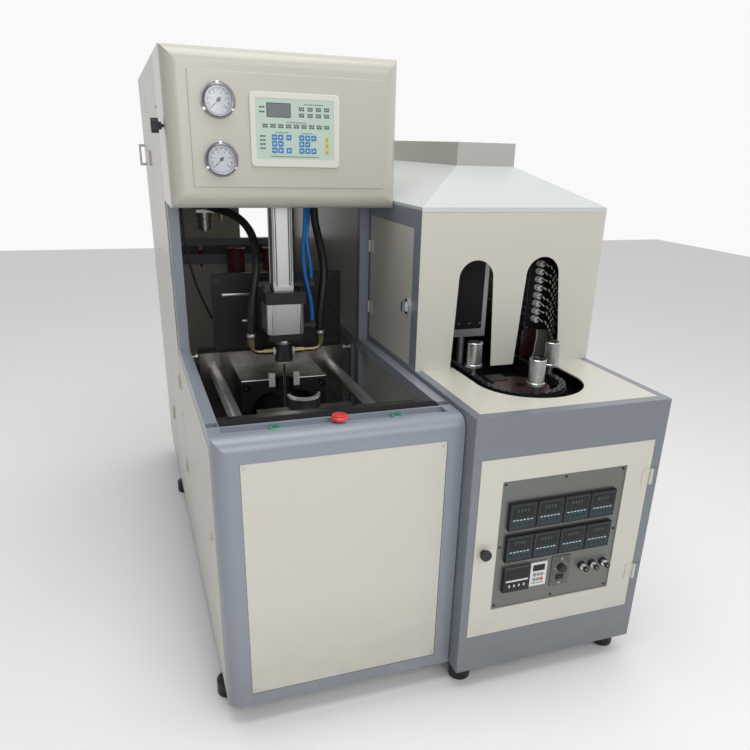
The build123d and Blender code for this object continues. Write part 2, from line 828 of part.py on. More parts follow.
with BuildPart() as stretch_cylinder:
    cap_half = stretch_barrel_half + 2
    for z in (upper_arm_top, stretch_barrel_top):
        block(
            (centre - cap_half, centre + cap_half),
            (blow_line - cap_half, blow_line + cap_half),
            (z, z + stretch_cap),
        )
    with BuildSketch(Plane.XY.offset(stretch_barrel_bottom)):
        with Locations((centre, blow_line)):
            RectangleRounded(2 * stretch_barrel_half, 2 * stretch_barrel_half, 6)
            with GridLocations(2 * stretch_barrel_half - 18, 2 * stretch_barrel_half, 2, 2):
                Rectangle(3, 5, mode=Mode.SUBTRACT)
    extrude(amount=stretch_barrel_top - stretch_barrel_bottom)
    barrel_face = centre + stretch_barrel_half
    rod_x((barrel_face, rear_tube_x + elbow_radius), stretch_port_y, stretch_port_height, elbow_radius)
    elbow_z = (stretch_port_height, stretch_port_height + elbow_height)
    rod_z(rear_tube_x, stretch_port_y, elbow_z, elbow_radius)
    barrel_z = (stretch_barrel_bottom, stretch_barrel_top)
    rod_z(centre, blow_line, barrel_z, stretch_bore_radius, mode=Mode.SUBTRACT)
    rod_z(
        centre,
        blow_line,
        (upper_arm_top, stretch_barrel_bottom),
        stretch_rod_radius + running_gap,
        mode=Mode.SUBTRACT,
    )
keep(stretch_cylinder, "stretch_cylinder")

seal_piston_top = upper_arm_bottom - 8
nozzle_bore_radius = stretch_rod_radius + running_gap
with BuildPart() as blow_nozzle:
    rod_z(centre, blow_line, (nozzle_bottom, nozzle_top), nozzle_radius)
    chamfer(blow_nozzle.faces().sort_by(Axis.Z)[0].edges(), 4)
    rod_z(centre, blow_line, (nozzle_top, nozzle_top + 3), nozzle_radius - 3)
    with BuildSketch(Plane.XY.offset(nozzle_top + 3)):
        with Locations((centre, blow_line)):
            RegularPolygon(19, 6)
    extrude(amount=9)
    rod_z(centre, blow_line, (nozzle_top, seal_piston_top), nozzle_rod_radius)
    rod_z(
        centre,
        blow_line,
        (seal_piston_top - piston_length, seal_piston_top),
        seal_bore_radius - running_gap,
    )
    rod_z(centre, blow_line, (nozzle_bottom, seal_piston_top), nozzle_bore_radius, mode=Mode.SUBTRACT)
keep(blow_nozzle, "blow_nozzle")

stretch_piston_rest = 45
stretch_piston_bottom = stretch_barrel_bottom + stretch_piston_rest + stretch_down
with BuildPart() as stretch_rod:
    rod_z(centre, blow_line, (stretch_rod_tip, stretch_piston_bottom), stretch_rod_radius)
    fillet(stretch_rod.faces().sort_by(Axis.Z)[0].edges(), 3.5)
    rod_z(
        centre,
        blow_line,
        (stretch_piston_bottom, stretch_piston_bottom + piston_length),
        stretch_bore_radius - running_gap,
    )
keep(stretch_rod, "stretch_rod")

# Air fittings on the nozzle: collar, nut and a bent pipe on each side
port_rise = 32
port_height = nozzle_bottom + port_rise
pipe_radius = 7
hose_left_offset = 96
hose_right_offset = 115
hose_left_x = centre - hose_left_offset
hose_right_x = centre + hose_right_offset
fitting_rise = 44
fitting_top = port_height + fitting_rise
with BuildPart() as nozzle_fittings:
    for side, pipe_x in ((-1, hose_left_x), (1, hose_right_x)):
        port_x = centre + side * nozzle_radius
        spans = [(port_x - side * 1.5, port_x + side * 8, 11), (port_x + side * 8, port_x + side * 34, 10)]
        for near, far, radius in spans:
            with BuildSketch(Plane.YZ.offset(near)):
                with Locations((blow_line, port_height)):
                    RegularPolygon(radius, 6)
            extrude(amount=far - near)
        bend = 22
        with BuildLine() as pipe_line:
            FilletPolyline(
                (port_x + side * 30, blow_line, port_height),
                (pipe_x, blow_line, port_height),
                (pipe_x, blow_line, fitting_top - 20),
                radius=bend,
            )
        with BuildSketch(Plane((port_x + side * 30, blow_line, port_height), z_dir=(side, 0, 0))):
            Circle(pipe_radius)
        sweep(path=pipe_line.line)
        with BuildSketch(Plane.XY.offset(fitting_top - 26)):
            with Locations((pipe_x, blow_line)):
                RegularPolygon(13, 6)
        extrude(amount=26)
    rod_z(centre, blow_line, (port_height - 20, port_height + 20), nozzle_radius, mode=Mode.SUBTRACT)
keep(nozzle_fittings, "nozzle_fittings")

# Air filter below the head's floor, with its outlet for the left hose
filter_x = left + 137
filter_y = front + 1100
filter_block_height = 58
bowl_height = 60
outlet_drop = 32
filter_block_bottom = head_floor - filter_block_height
bowl_bottom = filter_block_bottom - bowl_height
outlet_height = head_floor - outlet_drop
with BuildPart() as air_filter:
    block((filter_x - 28, filter_x + 28), (filter_y - 28, filter_y + 28), (filter_block_bottom, head_floor))
    rod_z(filter_x, filter_y, (bowl_bottom + 8, filter_block_bottom), 24)
    rod_z(filter_x, filter_y, (filter_block_bottom - 12, filter_block_bottom), 27)
    rod_z(filter_x, filter_y, (bowl_bottom, bowl_bottom + 8), 14)
    rod_y(filter_x, (filter_y - 52, filter_y - 28), outlet_height, 14)
keep(air_filter, "air_filter")

silencer_radius = 38
silencer_gap = 3
silencer_y = rear_post - silencer_radius - silencer_gap
silencer_length = 88
silencer_cap = 7
silencer_bottom = lower_beam[0] - 21
silencer_top = silencer_bottom + silencer_length
silencer_axis = (lower_beam[0] + lower_beam[1]) / 2
with BuildPart() as silencers:
    for x in (left + 333, left + 488):
        rod_z(x, silencer_y, (silencer_bottom, silencer_top), silencer_radius)
        for z in (silencer_bottom - silencer_cap, silencer_top):
            rod_z(x, silencer_y, (z, z + silencer_cap), silencer_radius + 2)
        rod_y(x, (silencer_y + 30, rear_post), silencer_axis, 12)
keep(silencers, "silencers")

# Hoses, air tubes and the sensor cable, each as straight runs joined by arcs


def turn_radii(points):
    """Return for each corner the largest arc that its two runs allow."""
    radii = []
    for before, corner, after in zip(points, points[1:], points[2:]):
        into = Vector(*corner) - Vector(*before)
        out_of = Vector(*after) - Vector(*corner)
        half_turn = into.get_angle(out_of) / 2
        shorter = min(into.length, out_of.length)
        radii.append(0.45 * shorter / math.tan(math.radians(half_turn)))
    return radii


def cord(points, radius, name):
    """Write a round cord along straight runs joined by tangent arcs."""
    radii = turn_radii(points)
    with BuildPart() as tube_part:
        with BuildLine() as route:
            FilletPolyline(*points, radius=radii)
        start = Vector(*points[0])
        direction = Vector(*points[1]) - start
        with BuildSketch(Plane(start, z_dir=direction)):
            Circle(radius)
        sweep(path=route.line)
    length = sum(edge.length for edge in route.edges())
    expected = math.pi * radius**2 * length
    smallest = min(radii) / (2 * radius)
    print(f"{name}: smallest arc {smallest:.1f} diameters, length {length:.0f}")
    print(f"{name}: volume over section times length {tube_part.part.volume / expected:.4f}")
    keep(tube_part, name)


hose_radius = 12
air_tube_radius = 6
cable_radius = 3.5
cable_gap = 0.5
outlet_face = filter_y - 52
front_tube_start = seal_port_height + elbow_height
rear_tube_start = stretch_port_height + elbow_height
cable_x = plate_left - cable_radius - cable_gap
cable_y = station_plate_face + station_plate / 2
hose_left_route = [
    (hose_left_x, blow_line, fitting_top),
    (hose_left_x, blow_line, 888),
    (left + 210, front + 667, 940),
    (left + 221, front + 674, 992),
    (left + 232, front + 691, 1042),
    (left + 238, front + 720, 1088),
    (left + 236, front + 762, 1126),
    (left + 223, front + 810, 1154),
    (left + 200, front + 858, 1173),
    (left + 172, front + 904, 1183),
    (left + 149, front + 952, outlet_height),
    (filter_x, front + 1002, outlet_height),
    (filter_x, outlet_face, outlet_height),
]
hose_right_route = [
    (hose_right_x, blow_line, fitting_top),
    (hose_right_x, blow_line, 886),
    (left + 421, front + 667, 938),
    (left + 430, front + 675, 990),
    (left + 436, front + 692, 1041),
    (left + 434, front + 718, 1090),
    (left + 427, front + 743, 1140),
    (left + 422, front + 752, 1180),
    (left + 422, front + 752, head_floor),
]
air_tube_front_route = [
    (front_tube_x, blow_line, front_tube_start),
    (front_tube_x, blow_line, 924),
    (left + 382, front + 662, 968),
    (left + 371, front + 661, 1014),
    (left + 366, front + 663, 1062),
    (left + 367, front + 667, 1112),
    (left + 376, front + 672, 1160),
    (left + 376, front + 672, head_floor),
]
air_tube_rear_route = [
    (rear_tube_x, stretch_port_y, rear_tube_start),
    (rear_tube_x, stretch_port_y, 1044),
    (left + 386, front + 690, 1086),
    (left + 385, front + 700, 1130),
    (left + 394, front + 708, 1172),
    (left + 394, front + 708, head_floor),
]
sensor_cable_route = [
    (cable_x, cable_y, 855),
    (left + 100, front + 873, 892),
    (left + 82, front + 868, 938),
    (left + 67, front + 864, 988),
    (left + 56, front + 863, 1040),
    (left + 49, front + 865, 1094),
    (left + 46, front + 870, 1148),
    (left + 46, front + 870, head_floor),
]
cord(hose_left_route, hose_radius, "hose_left")
cord(hose_right_route, hose_radius, "hose_right")
cord(air_tube_front_route, air_tube_radius, "air_tube_front")
cord(air_tube_rear_route, air_tube_radius, "air_tube_rear")
cord(sensor_cable_route, cable_radius, "sensor_cable")

# Feet: rubber pads on studs below both housings
foot_radius = 30
foot_height = 48
foot_places = [
    (left + 14, front + 140),
    (left + 14, front + 1410),
    (right - 14, front + 140),
    (right - 14, front + 1410),
    (heater_left + 40, heater_front + 60),
    (heater_left + 40, heater_rear - 60),
    (heater_right - 40, heater_front + 60),
    (heater_right - 40, heater_rear - 60),
]
with BuildPart() as feet:
    for x, y in foot_places:
        rod_z(x, y, (0, foot_height), foot_radius)
    fillet(feet.faces().filter_by(Axis.Z).edges(), 6)
    for x, y in foot_places:
        rod_z(x, y, (foot_height, base), 8)
        rod_z(x, y, (foot_height, foot_height + 6), 14)
keep(feet, "feet")

# Preheater housing: sheet box with a door opening, a table opening and a ledge for the table
door_left = heater_left + 22
door_right = heater_right - 29
door_bottom = base + 111
door_top = heater_table_height - 109
door_middle = (door_bottom + door_top) / 2
well_left = heater_left + 22
well_right = heater_right - 22
well_front = heater_front + 29
well_rear = heater_rear - 22
table_plate = 4
ledge_width = 10
table_seat = heater_table_height - table_plate
knuckle_radius = 4.5
heater_hinge_x = door_right + 2.5
heater_hinge_y = heater_front - knuckle_radius
heater_hinge_heights = (door_bottom + 118, door_top - 107)
with BuildPart() as heater_cabinet:
    block((heater_left, heater_right), (heater_front, heater_rear), (base, heater_table_height))
    block(
        (heater_left + sheet, heater_right - sheet),
        (heater_front + sheet, heater_rear - sheet),
        (base + sheet, heater_table_height - sheet),
        mode=Mode.SUBTRACT,
    )
    cabinet_columns = heater_cabinet.edges().filter_by(Axis.Z).group_by(Axis.Y)[0]
    fillet(cabinet_columns, 3)
    block(
        (heater_left + sheet, heater_right - sheet),
        (heater_front + sheet, heater_rear - sheet),
        (table_seat - sheet, heater_table_height - sheet),
    )
    block(
        (well_left + ledge_width, well_right - ledge_width),
        (well_front + ledge_width, well_rear - ledge_width),
        (table_seat - sheet, table_seat),
        mode=Mode.SUBTRACT,
    )
    block(
        (well_left, well_right),
        (well_front, well_rear),
        (table_seat, heater_table_height),
        mode=Mode.SUBTRACT,
    )
    block(
        (door_left, door_right),
        (heater_front, heater_front + sheet),
        (door_bottom, door_top),
        mode=Mode.SUBTRACT,
    )
    for z in heater_hinge_heights:
        block(
            (heater_hinge_x + knuckle_radius, heater_hinge_x + knuckle_radius + 18),
            (heater_front - sheet, heater_front),
            (z - 22, z + 22),
        )
keep(heater_cabinet, "heater_cabinet")

# Loop that the preforms travel: two half turns joined by straight runs
loop_x = heater_left + 273
loop_front = front + 218
loop_rear = front + 930
loop_radius = 110
table_hole_half = 152
table_hole_x = heater_left + 271.5
table_hole_y = front + 190
with BuildPart() as heater_table:
    block(
        (well_left + door_gap, well_right - door_gap),
        (well_front + door_gap, box_front + 14),
        (table_seat, heater_table_height),
    )
    rod_z(table_hole_x, table_hole_y, (table_seat, heater_table_height), table_hole_half, mode=Mode.SUBTRACT)
    block(
        (table_hole_x - table_hole_half, table_hole_x + table_hole_half),
        (table_hole_y, box_front + 14),
        (table_seat, heater_table_height),
        mode=Mode.SUBTRACT,
    )
keep(heater_table, "heater_table")

deck_drop = 57
deck_plate = 4
rail_height = 38
chain_height = 8
deck_bottom = table_seat - deck_drop
deck_top = deck_bottom + deck_plate
rail_top = deck_top + rail_height
chain_top = rail_top + chain_height
chain_half = 12
drum_radius = 80
drum_height = 31
drum_top = deck_top + drum_height
axle_radius = 14
with BuildPart() as chain_track:
    block(
        (heater_left + sheet, heater_right - sheet),
        (heater_front + 8, heater_rear - 8),
        (deck_bottom, deck_top),
    )
    with BuildSketch(Plane.XY.offset(deck_top)):
        with Locations((loop_x, (loop_front + loop_rear) / 2)):
            SlotCenterToCenter(loop_rear - loop_front, 2 * (loop_radius + chain_half), rotation=90)
            SlotCenterToCenter(
                loop_rear - loop_front,
                2 * (loop_radius - chain_half),
                rotation=90,
                mode=Mode.SUBTRACT,
            )
    extrude(amount=rail_top - deck_top)
    with BuildSketch(Plane.XY.offset(rail_top)):
        with Locations((loop_x, (loop_front + loop_rear) / 2)):
            SlotCenterToCenter(loop_rear - loop_front, 2 * (loop_radius + chain_half - 3), rotation=90)
            SlotCenterToCenter(
                loop_rear - loop_front,
                2 * (loop_radius - chain_half + 3),
                rotation=90,
                mode=Mode.SUBTRACT,
            )
    extrude(amount=chain_top - rail_top)
    for y in (loop_front, loop_rear):
        rod_z(loop_x, y, (deck_top, drum_top), drum_radius)
        rod_z(loop_x, y, (drum_top, drum_top + 12), axle_radius)
keep(chain_track, "chain_track")

holder_count = 9
holder_start = 24
holder_height = 69
holder_radius = 21.5
holder_flange_radius = 25
holder_flange = 5
spindle_length = 25
holder_bottom = chain_top + spindle_length
spindle_radius = 8
preform_bore = 17
quarter_turn = math.pi * loop_radius / 2
straight_run = loop_rear - loop_front
loop_length = 4 * quarter_turn + 2 * straight_run


def loop_place(distance):
    """Return the X and Y of a place on the loop, measured leftwards from its front."""
    if distance < quarter_turn:
        turn = distance / loop_radius
        return loop_x - loop_radius * math.sin(turn), loop_front - loop_radius * math.cos(turn)
    distance -= quarter_turn
    if distance < straight_run:
        return loop_x - loop_radius, loop_front + distance
    distance -= straight_run
    if distance < 2 * quarter_turn:
        turn = distance / loop_radius
        return loop_x - loop_radius * math.cos(turn), loop_rear + loop_radius * math.sin(turn)
    distance -= 2 * quarter_turn
    if distance < straight_run:
        return loop_x + loop_radius, loop_rear - distance
    turn = (distance - straight_run) / loop_radius
    return loop_x + loop_radius * math.cos(turn), loop_front - loop_radius * math.sin(turn)


holder_pitch = loop_length / holder_count
holder_places = [loop_place(holder_start + holder_pitch * index) for index in range(holder_count)]
with BuildPart() as preform_holders:
    for x, y in holder_places:
        rod_z(x, y, (holder_bottom + holder_flange, holder_bottom + holder_height), holder_radius)
    fillet(preform_holders.faces().group_by(Axis.Z)[-1].edges(), 2)
    for x, y in holder_places:
        rod_z(x, y, (chain_top, holder_bottom), spindle_radius)
        rod_z(x, y, (holder_bottom, holder_bottom + holder_flange), holder_flange_radius)
        rod_z(
            x,
            y,
            (holder_bottom + 19, holder_bottom + holder_height),
            preform_bore,
            mode=Mode.SUBTRACT,
        )
keep(preform_holders, "preform_holders")

# Heating tunnel: reflectors on their posts, and the lamps between their end plates
tunnel_front = front + 530
tunnel_rear = front + 1000
column_rear = loop_rear + 30
tunnel_lift = 61
tunnel_headroom = 40
tunnel_bottom = heater_table_height + tunnel_lift
tunnel_top = heater_box_height - tunnel_headroom
reflector_foot_height = 24
lamp_bank_front = front + 470
bank_left = heater_left + 414
bank_right = heater_left + 518
end_plate = 4
lamp_x = heater_left + 443
lamp_radius = 5
lamp_pitch = 24
lamp_bottom = tunnel_bottom + 38
lamp_margin_above = 110
lamp_count = int((tunnel_top - lamp_margin_above - lamp_bottom) / lamp_pitch) + 1
lamp_cap_radius = 9
lamp_cap_length = 22
lamp_hole_radius = lamp_radius + seat_gap
with BuildPart() as reflector_panels:
    block((heater_left + 204, heater_left + 298), (tunnel_front, column_rear), (tunnel_bottom, tunnel_top))
    block(
        (heater_left + 206, heater_left + 296),
        (tunnel_front + sheet, column_rear - sheet),
        (tunnel_bottom, tunnel_top - sheet),
        mode=Mode.SUBTRACT,
    )
    foot_z = (tunnel_bottom - reflector_foot_height, tunnel_bottom)
    block((heater_left + 204, heater_left + 310), (tunnel_front, tunnel_front + 90), foot_z)
    column_y = (tunnel_front + 4, tunnel_front + 24)
    block((heater_left + 296, heater_left + 312), column_y, (tunnel_bottom, tunnel_top))
    for y in (tunnel_front + 45, tunnel_rear - 200):
        rod_z(heater_left + 251, y, (deck_top, tunnel_bottom), 12)
    for y in (lamp_bank_front, tunnel_rear):
        block((bank_left, bank_right), (y, y + end_plate), (tunnel_bottom, tunnel_top))
    block(
        (bank_right - end_plate, bank_right),
        (lamp_bank_front, tunnel_rear + end_plate),
        (tunnel_bottom, tunnel_top),
    )
    for y in (lamp_bank_front, tunnel_rear):
        block((bank_right - 14, bank_right), (y, y + end_plate), (deck_top, tunnel_bottom))
    for index in range(lamp_count):
        rod_y(
            lamp_x,
            (lamp_bank_front, tunnel_rear + end_plate),
            lamp_bottom + index * lamp_pitch,
            lamp_hole_radius,
            mode=Mode.SUBTRACT,
        )
keep(reflector_panels, "reflector_panels")

with BuildPart() as lamps:
    for index in range(lamp_count):
        z = lamp_bottom + index * lamp_pitch
        rod_y(lamp_x, (lamp_bank_front, tunnel_rear + end_plate), z, lamp_radius)
        rod_y(lamp_x, (lamp_bank_front - lamp_cap_length, lamp_bank_front), z, lamp_cap_radius)
        rod_y(
            lamp_x,
            (tunnel_rear + end_plate, tunnel_rear + end_plate + lamp_cap_length),
            z,
            lamp_cap_radius,
        )
keep(lamps, "lamps")

# Upper box of the preheater: tube frame, front sheet with two arches, and the side door
frame_front = box_front + sheet
frame_rear_post = heater_rear - box_post_width
frame_left = (heater_left, heater_left + box_post)
frame_right = (heater_right - box_post, heater_right)
eave_rail = (heater_box_height - box_rail_height, heater_box_height)
sill_rail = (heater_table_height, heater_table_height + 10)
side_hinge_x = heater_left - 3.7
side_hinge_y = side_door_rear
side_knuckle = 3.5
side_leaf_half = 18
side_leaf_length = 24
side_door_bottom = heater_table_height + 5
side_door_top = eave_rail[0]
side_hinge_heights = (side_door_bottom + 94, side_door_top - 93)
mid_post = (side_hinge_y + 1.5, side_hinge_y + 31.5)
latch_y = front + 414
latch_z = (side_door_bottom + side_door_top) / 2 - 25.5
latch_stud_radius = 5
keeper_length = 11
with BuildPart() as upper_frame:
    post_height = (heater_table_height, heater_box_height)
    for column in (frame_left, frame_right):
        square_tube(column, (frame_front, frame_front + box_post_width), post_height, 2)
        square_tube(column, (frame_rear_post, heater_rear), post_height, 2)
        square_tube(column, (frame_front + box_post_width, frame_rear_post), eave_rail, 1)
    cross_span = (frame_left[1], frame_right[0])
    for y in (frame_front, frame_rear_post):
        square_tube(cross_span, (y, y + box_post_width), eave_rail, 0)
    square_tube(cross_span, (frame_rear_post, heater_rear), sill_rail, 0)
    for column in ((heater_left + sheet, frame_left[1]), frame_right):
        square_tube(column, (frame_front + box_post_width, frame_rear_post), sill_rail, 1)
    square_tube(frame_left, mid_post, (sill_rail[1], eave_rail[0]), 2)
    for z in side_hinge_heights:
        leaf_z = (z - side_leaf_half, z + side_leaf_half)
        block((heater_left - sheet, heater_left), (side_hinge_y + 4, side_hinge_y + side_leaf_length), leaf_z)
    keeper_front = frame_front + box_post_width
    block(
        (heater_left + sheet, heater_left + 2 * sheet),
        (keeper_front, keeper_front + keeper_length),
        (latch_z - 15, latch_z + 15),
    )
keep(upper_frame, "upper_frame")

arch_spring = heater_box_height - 170
arch_openings = [(106, 117, 220, 235, 42), (308, 324, 428, 460, 47)]
with BuildPart() as arch_panel:
    with BuildSketch(Plane.XZ.offset(-box_front)):
        with Locations(((heater_left + heater_right) / 2, (heater_table_height + heater_box_height) / 2)):
            Rectangle(heater_width, heater_box_height - heater_table_height)
        for *offsets, rise in arch_openings:
            foot_left, spring_left, spring_right, foot_right = [heater_left + offset for offset in offsets]
            with BuildLine():
                Line((foot_left, heater_table_height), (spring_left, arch_spring))
                ThreePointArc(
                    (spring_left, arch_spring),
                    ((spring_left + spring_right) / 2, arch_spring + rise),
                    (spring_right, arch_spring),
                )
                Line((spring_right, arch_spring), (foot_right, heater_table_height))
                Line((foot_right, heater_table_height), (foot_left, heater_table_height))
            make_face(mode=Mode.SUBTRACT)
    extrude(amount=-sheet)
keep(arch_panel, "arch_panel")

side_door_front = frame_front + box_post_width + 3
with BuildPart() as heater_side_door:
    block(
        (heater_left, heater_left + sheet),
        (side_door_front, side_hinge_y - 2.5),
        (side_door_bottom, side_door_top - door_gap),
    )
    for z in side_hinge_heights:
        leaf_z = (z - side_leaf_half, z + side_leaf_half)
        rod_z(side_hinge_x, side_hinge_y, leaf_z, side_knuckle)
        block((heater_left - sheet, heater_left), (side_hinge_y - side_leaf_length, side_hinge_y), leaf_z)
    rod_x(
        (heater_left - sheet, heater_left + sheet),
        latch_y,
        latch_z,
        latch_stud_radius + running_gap,
        mode=Mode.SUBTRACT,
    )
keep(heater_side_door, "heater_side_door")

cam_thickness = 3
cam_length = 24
cam_seat = heater_left + 2 * sheet + door_gap
with BuildPart() as side_door_latch:
    rod_x((heater_left - 8, cam_seat + cam_thickness), latch_y, latch_z, latch_stud_radius)
    with BuildSketch(Plane.YZ.offset(heater_left)):
        with Locations((latch_y, latch_z)):
            Ellipse(15, 21)
    extrude(amount=-5)
    block((heater_left - 18, heater_left - 5), (latch_y - 4, latch_y + 4), (latch_z - 14, latch_z + 14))
    block(
        (cam_seat, cam_seat + cam_thickness),
        (latch_y - 7, latch_y + 7),
        (latch_z - cam_length, latch_z + 7),
    )
keep(side_door_latch, "side_door_latch")

# Hood: sloped sheet roof with its vent box
eave_height = 8
vent_x = (heater_left + 186, heater_left + 369)
vent_y = (front + 545, front + 1190)


def hood_shape(inset, mode):
    """Add or cut the hood's eave, slope and vent, drawn in by an inset."""
    eave_x = (heater_left + inset, heater_right - inset)
    eave_y = (box_front + inset, heater_rear - inset)
    eave_top = heater_box_height + eave_height
    duct_x = (vent_x[0] + inset, vent_x[1] - inset)
    duct_y = (vent_y[0] + inset, vent_y[1] - inset)
    block(eave_x, eave_y, (heater_box_height, eave_top), mode=mode)
    outlines = []
    for z, (low_x, high_x), (low_y, high_y) in (
        (eave_top, eave_x, eave_y),
        (hood_height, duct_x, duct_y),
    ):
        with BuildSketch(Plane.XY.offset(z)) as outline:
            with Locations(((low_x + high_x) / 2, (low_y + high_y) / 2)):
                Rectangle(high_x - low_x, high_y - low_y)
        outlines.append(outline.sketch)
    loft(outlines, mode=mode)
    block(duct_x, duct_y, (hood_height, vent_height - inset), mode=mode)


with BuildPart() as hood:
    hood_shape(0, Mode.ADD)
    hood_shape(sheet, Mode.SUBTRACT)
keep(hood, "hood")

# Preheater door: sheet with a rim and a window in which the instrument plate sits
window_left = heater_left + 87
window_right = heater_left + 454
window_height = 378
window_bottom = door_middle + 6.5 - window_height / 2
window_top = window_bottom + window_height
window_ledge = 10
plate_depth = 3
door_rim = 18
leaf_outer = heater_hinge_x - 26
knob_x = heater_left + 49
heater_knob_z = door_middle + 1.5
door_knob_stud = 6
with BuildPart() as heater_door:
    door_span = (door_left + door_gap, door_right - door_gap)
    door_height = (door_bottom + door_gap, door_top - door_gap)
    block(door_span, (heater_front, heater_front + door_rim), door_height)
    block(
        (door_span[0] + sheet, door_span[1] - sheet),
        (heater_front + sheet, heater_front + door_rim),
        (door_height[0] + sheet, door_height[1] - sheet),
        mode=Mode.SUBTRACT,
    )
    block(
        (window_left - window_ledge, window_right + window_ledge),
        (heater_front + sheet, heater_front + plate_depth + 2 * sheet),
        (window_bottom - window_ledge, window_top + window_ledge),
    )
    block(
        (window_left, window_right),
        (heater_front, heater_front + plate_depth + sheet),
        (window_bottom, window_top),
        mode=Mode.SUBTRACT,
    )
    block(
        (window_left + window_ledge, window_right - window_ledge),
        (heater_front + plate_depth + sheet, heater_front + plate_depth + 2 * sheet),
        (window_bottom + window_ledge, window_top - window_ledge),
        mode=Mode.SUBTRACT,
    )
    for z in heater_hinge_heights:
        rod_z(heater_hinge_x, heater_hinge_y, (z - 22, z + 22), knuckle_radius)
        block((leaf_outer, heater_hinge_x), (heater_front - sheet, heater_front), (z - 22, z + 22))
    rod_y(
        knob_x,
        (heater_front, heater_front + sheet),
        heater_knob_z,
        door_knob_stud + running_gap,
        mode=Mode.SUBTRACT,
    )
    block(
        (door_span[0], door_span[0] + sheet),
        (heater_front + sheet, heater_front + 2 * sheet + cam_thickness + door_gap),
        (heater_knob_z - 9, heater_knob_z + cam_length),
        mode=Mode.SUBTRACT,
    )
keep(heater_door, "heater_door")

door_cam_length = 32
with BuildPart() as heater_door_knob:
    door_cam = heater_front + sheet + door_gap
    rod_y(knob_x, (heater_front - 21, door_cam + cam_thickness), heater_knob_z, door_knob_stud)
    rod_y(knob_x, (heater_front - 12, heater_front - 0.5), heater_knob_z, 9)
    rod_y(knob_x, (heater_front - 21, heater_front - 12), heater_knob_z, 14.5)
    fillet(heater_door_knob.faces().sort_by(Axis.Y)[0].edges(), 1.5)
    block(
        (knob_x - 8, knob_x + 8),
        (door_cam, door_cam + cam_thickness),
        (heater_knob_z - 8, heater_knob_z + door_cam_length),
    )
keep(heater_door_knob, "heater_door_knob")

# Instruments on the plate: controllers, counter, keypad, speed plate and switch bodies
plate_face = heater_front + plate_depth
controller_width = 77
controller_height = 76
controller_pitch = 79.5
controller_left = heater_left + 112
controller_rows = (window_top - 140, window_top - 234)
bezel_reach = 10
selector_z = window_top - 292
selector_places = [heater_left + 360, heater_left + 393, heater_left + 428]
selector_stud = 4
speed_x = heater_left + 290
speed_z = window_top - 281
speed_stud = 3
with BuildPart() as control_plate:
    block(
        (window_left + door_gap, window_right - door_gap),
        (plate_face, plate_face + sheet),
        (window_bottom + door_gap, window_top - door_gap),
    )
    for row in controller_rows:
        for column in range(4):
            low_x = controller_left + column * controller_pitch
            block(
                (low_x, low_x + controller_width),
                (plate_face - bezel_reach, plate_face),
                (row, row + controller_height),
            )
    lower_row_top = window_top - 253
    counter_span = (heater_left + 114, heater_left + 192)
    block(counter_span, (plate_face - bezel_reach, plate_face), (lower_row_top - 74, lower_row_top))
    proud_edges = control_plate.faces().filter_by(Axis.Y).group_by(Axis.Y)[0].edges()
    fillet(proud_edges, 1.5)
    for row in controller_rows:
        for column in range(4):
            low_x = controller_left + column * controller_pitch
            block(
                (low_x + 5, low_x + controller_width - 5),
                (plate_face - bezel_reach, plate_face - bezel_reach + 1),
                (row + 5, row + controller_height - 5),
                mode=Mode.SUBTRACT,
            )
    keypad_span = (heater_left + 195, heater_left + 245)
    block(keypad_span, (plate_face - 5, plate_face), (lower_row_top - 72, lower_row_top))
    speed_span = (heater_left + 261, heater_left + 319)
    block(speed_span, (plate_face - sheet, plate_face), (lower_row_top - 86, lower_row_top + 6))
    for x in selector_places:
        rod_y(x, (plate_face - 6, plate_face), selector_z, 11)
        rod_y(x, (plate_face, plate_face + 30), selector_z, 9)
        rod_y(
            x,
            (plate_face - 6, plate_face + 10),
            selector_z,
            selector_stud + running_gap,
            mode=Mode.SUBTRACT,
        )
    rod_y(
        speed_x,
        (plate_face - sheet, plate_face + sheet),
        speed_z,
        speed_stud + running_gap,
        mode=Mode.SUBTRACT,
    )
keep(control_plate, "control_plate")

with BuildPart() as speed_knob:
    rod_y(speed_x, (plate_face - 6, plate_face + 8), speed_z, speed_stud)
    rod_y(speed_x, (plate_face - 18, plate_face - sheet - seat_gap), speed_z, 11)
    fillet(speed_knob.faces().sort_by(Axis.Y)[0].edges(), 1)
    block(
        (speed_x - 0.8, speed_x + 0.8),
        (plate_face - 18, plate_face - 17),
        (speed_z + 3, speed_z + 12),
        mode=Mode.SUBTRACT,
    )
keep(speed_knob, "speed_knob")

lever_face = plate_face - 6 - seat_gap
lever_reach = heater_front - selector_reach
for number, x in enumerate(selector_places, start=1):
    with BuildPart() as selector_lever:
        rod_y(x, (lever_face - 6, plate_face + 8), selector_z, selector_stud)
        rod_y(x, (lever_face - 6, lever_face), selector_z, 9)
        with BuildSketch(Plane.XZ.offset(-(lever_face - 6))):
            with Locations((x, selector_z)):
                Rectangle(8, 22, rotation=-45)
        extrude(amount=lever_face - 6 - lever_reach)
        fillet(selector_lever.faces().sort_by(Axis.Y)[0].edges(), 1.5)
    keep(selector_lever, f"selector_lever_{number}")
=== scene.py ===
"""Looks of the blow moulding machine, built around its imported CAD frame."""

import json
import logging
import math
from dataclasses import dataclass
from enum import Enum
from typing import Callable, Iterable, Sequence

import bmesh
import bpy
from mathutils import Matrix, Vector

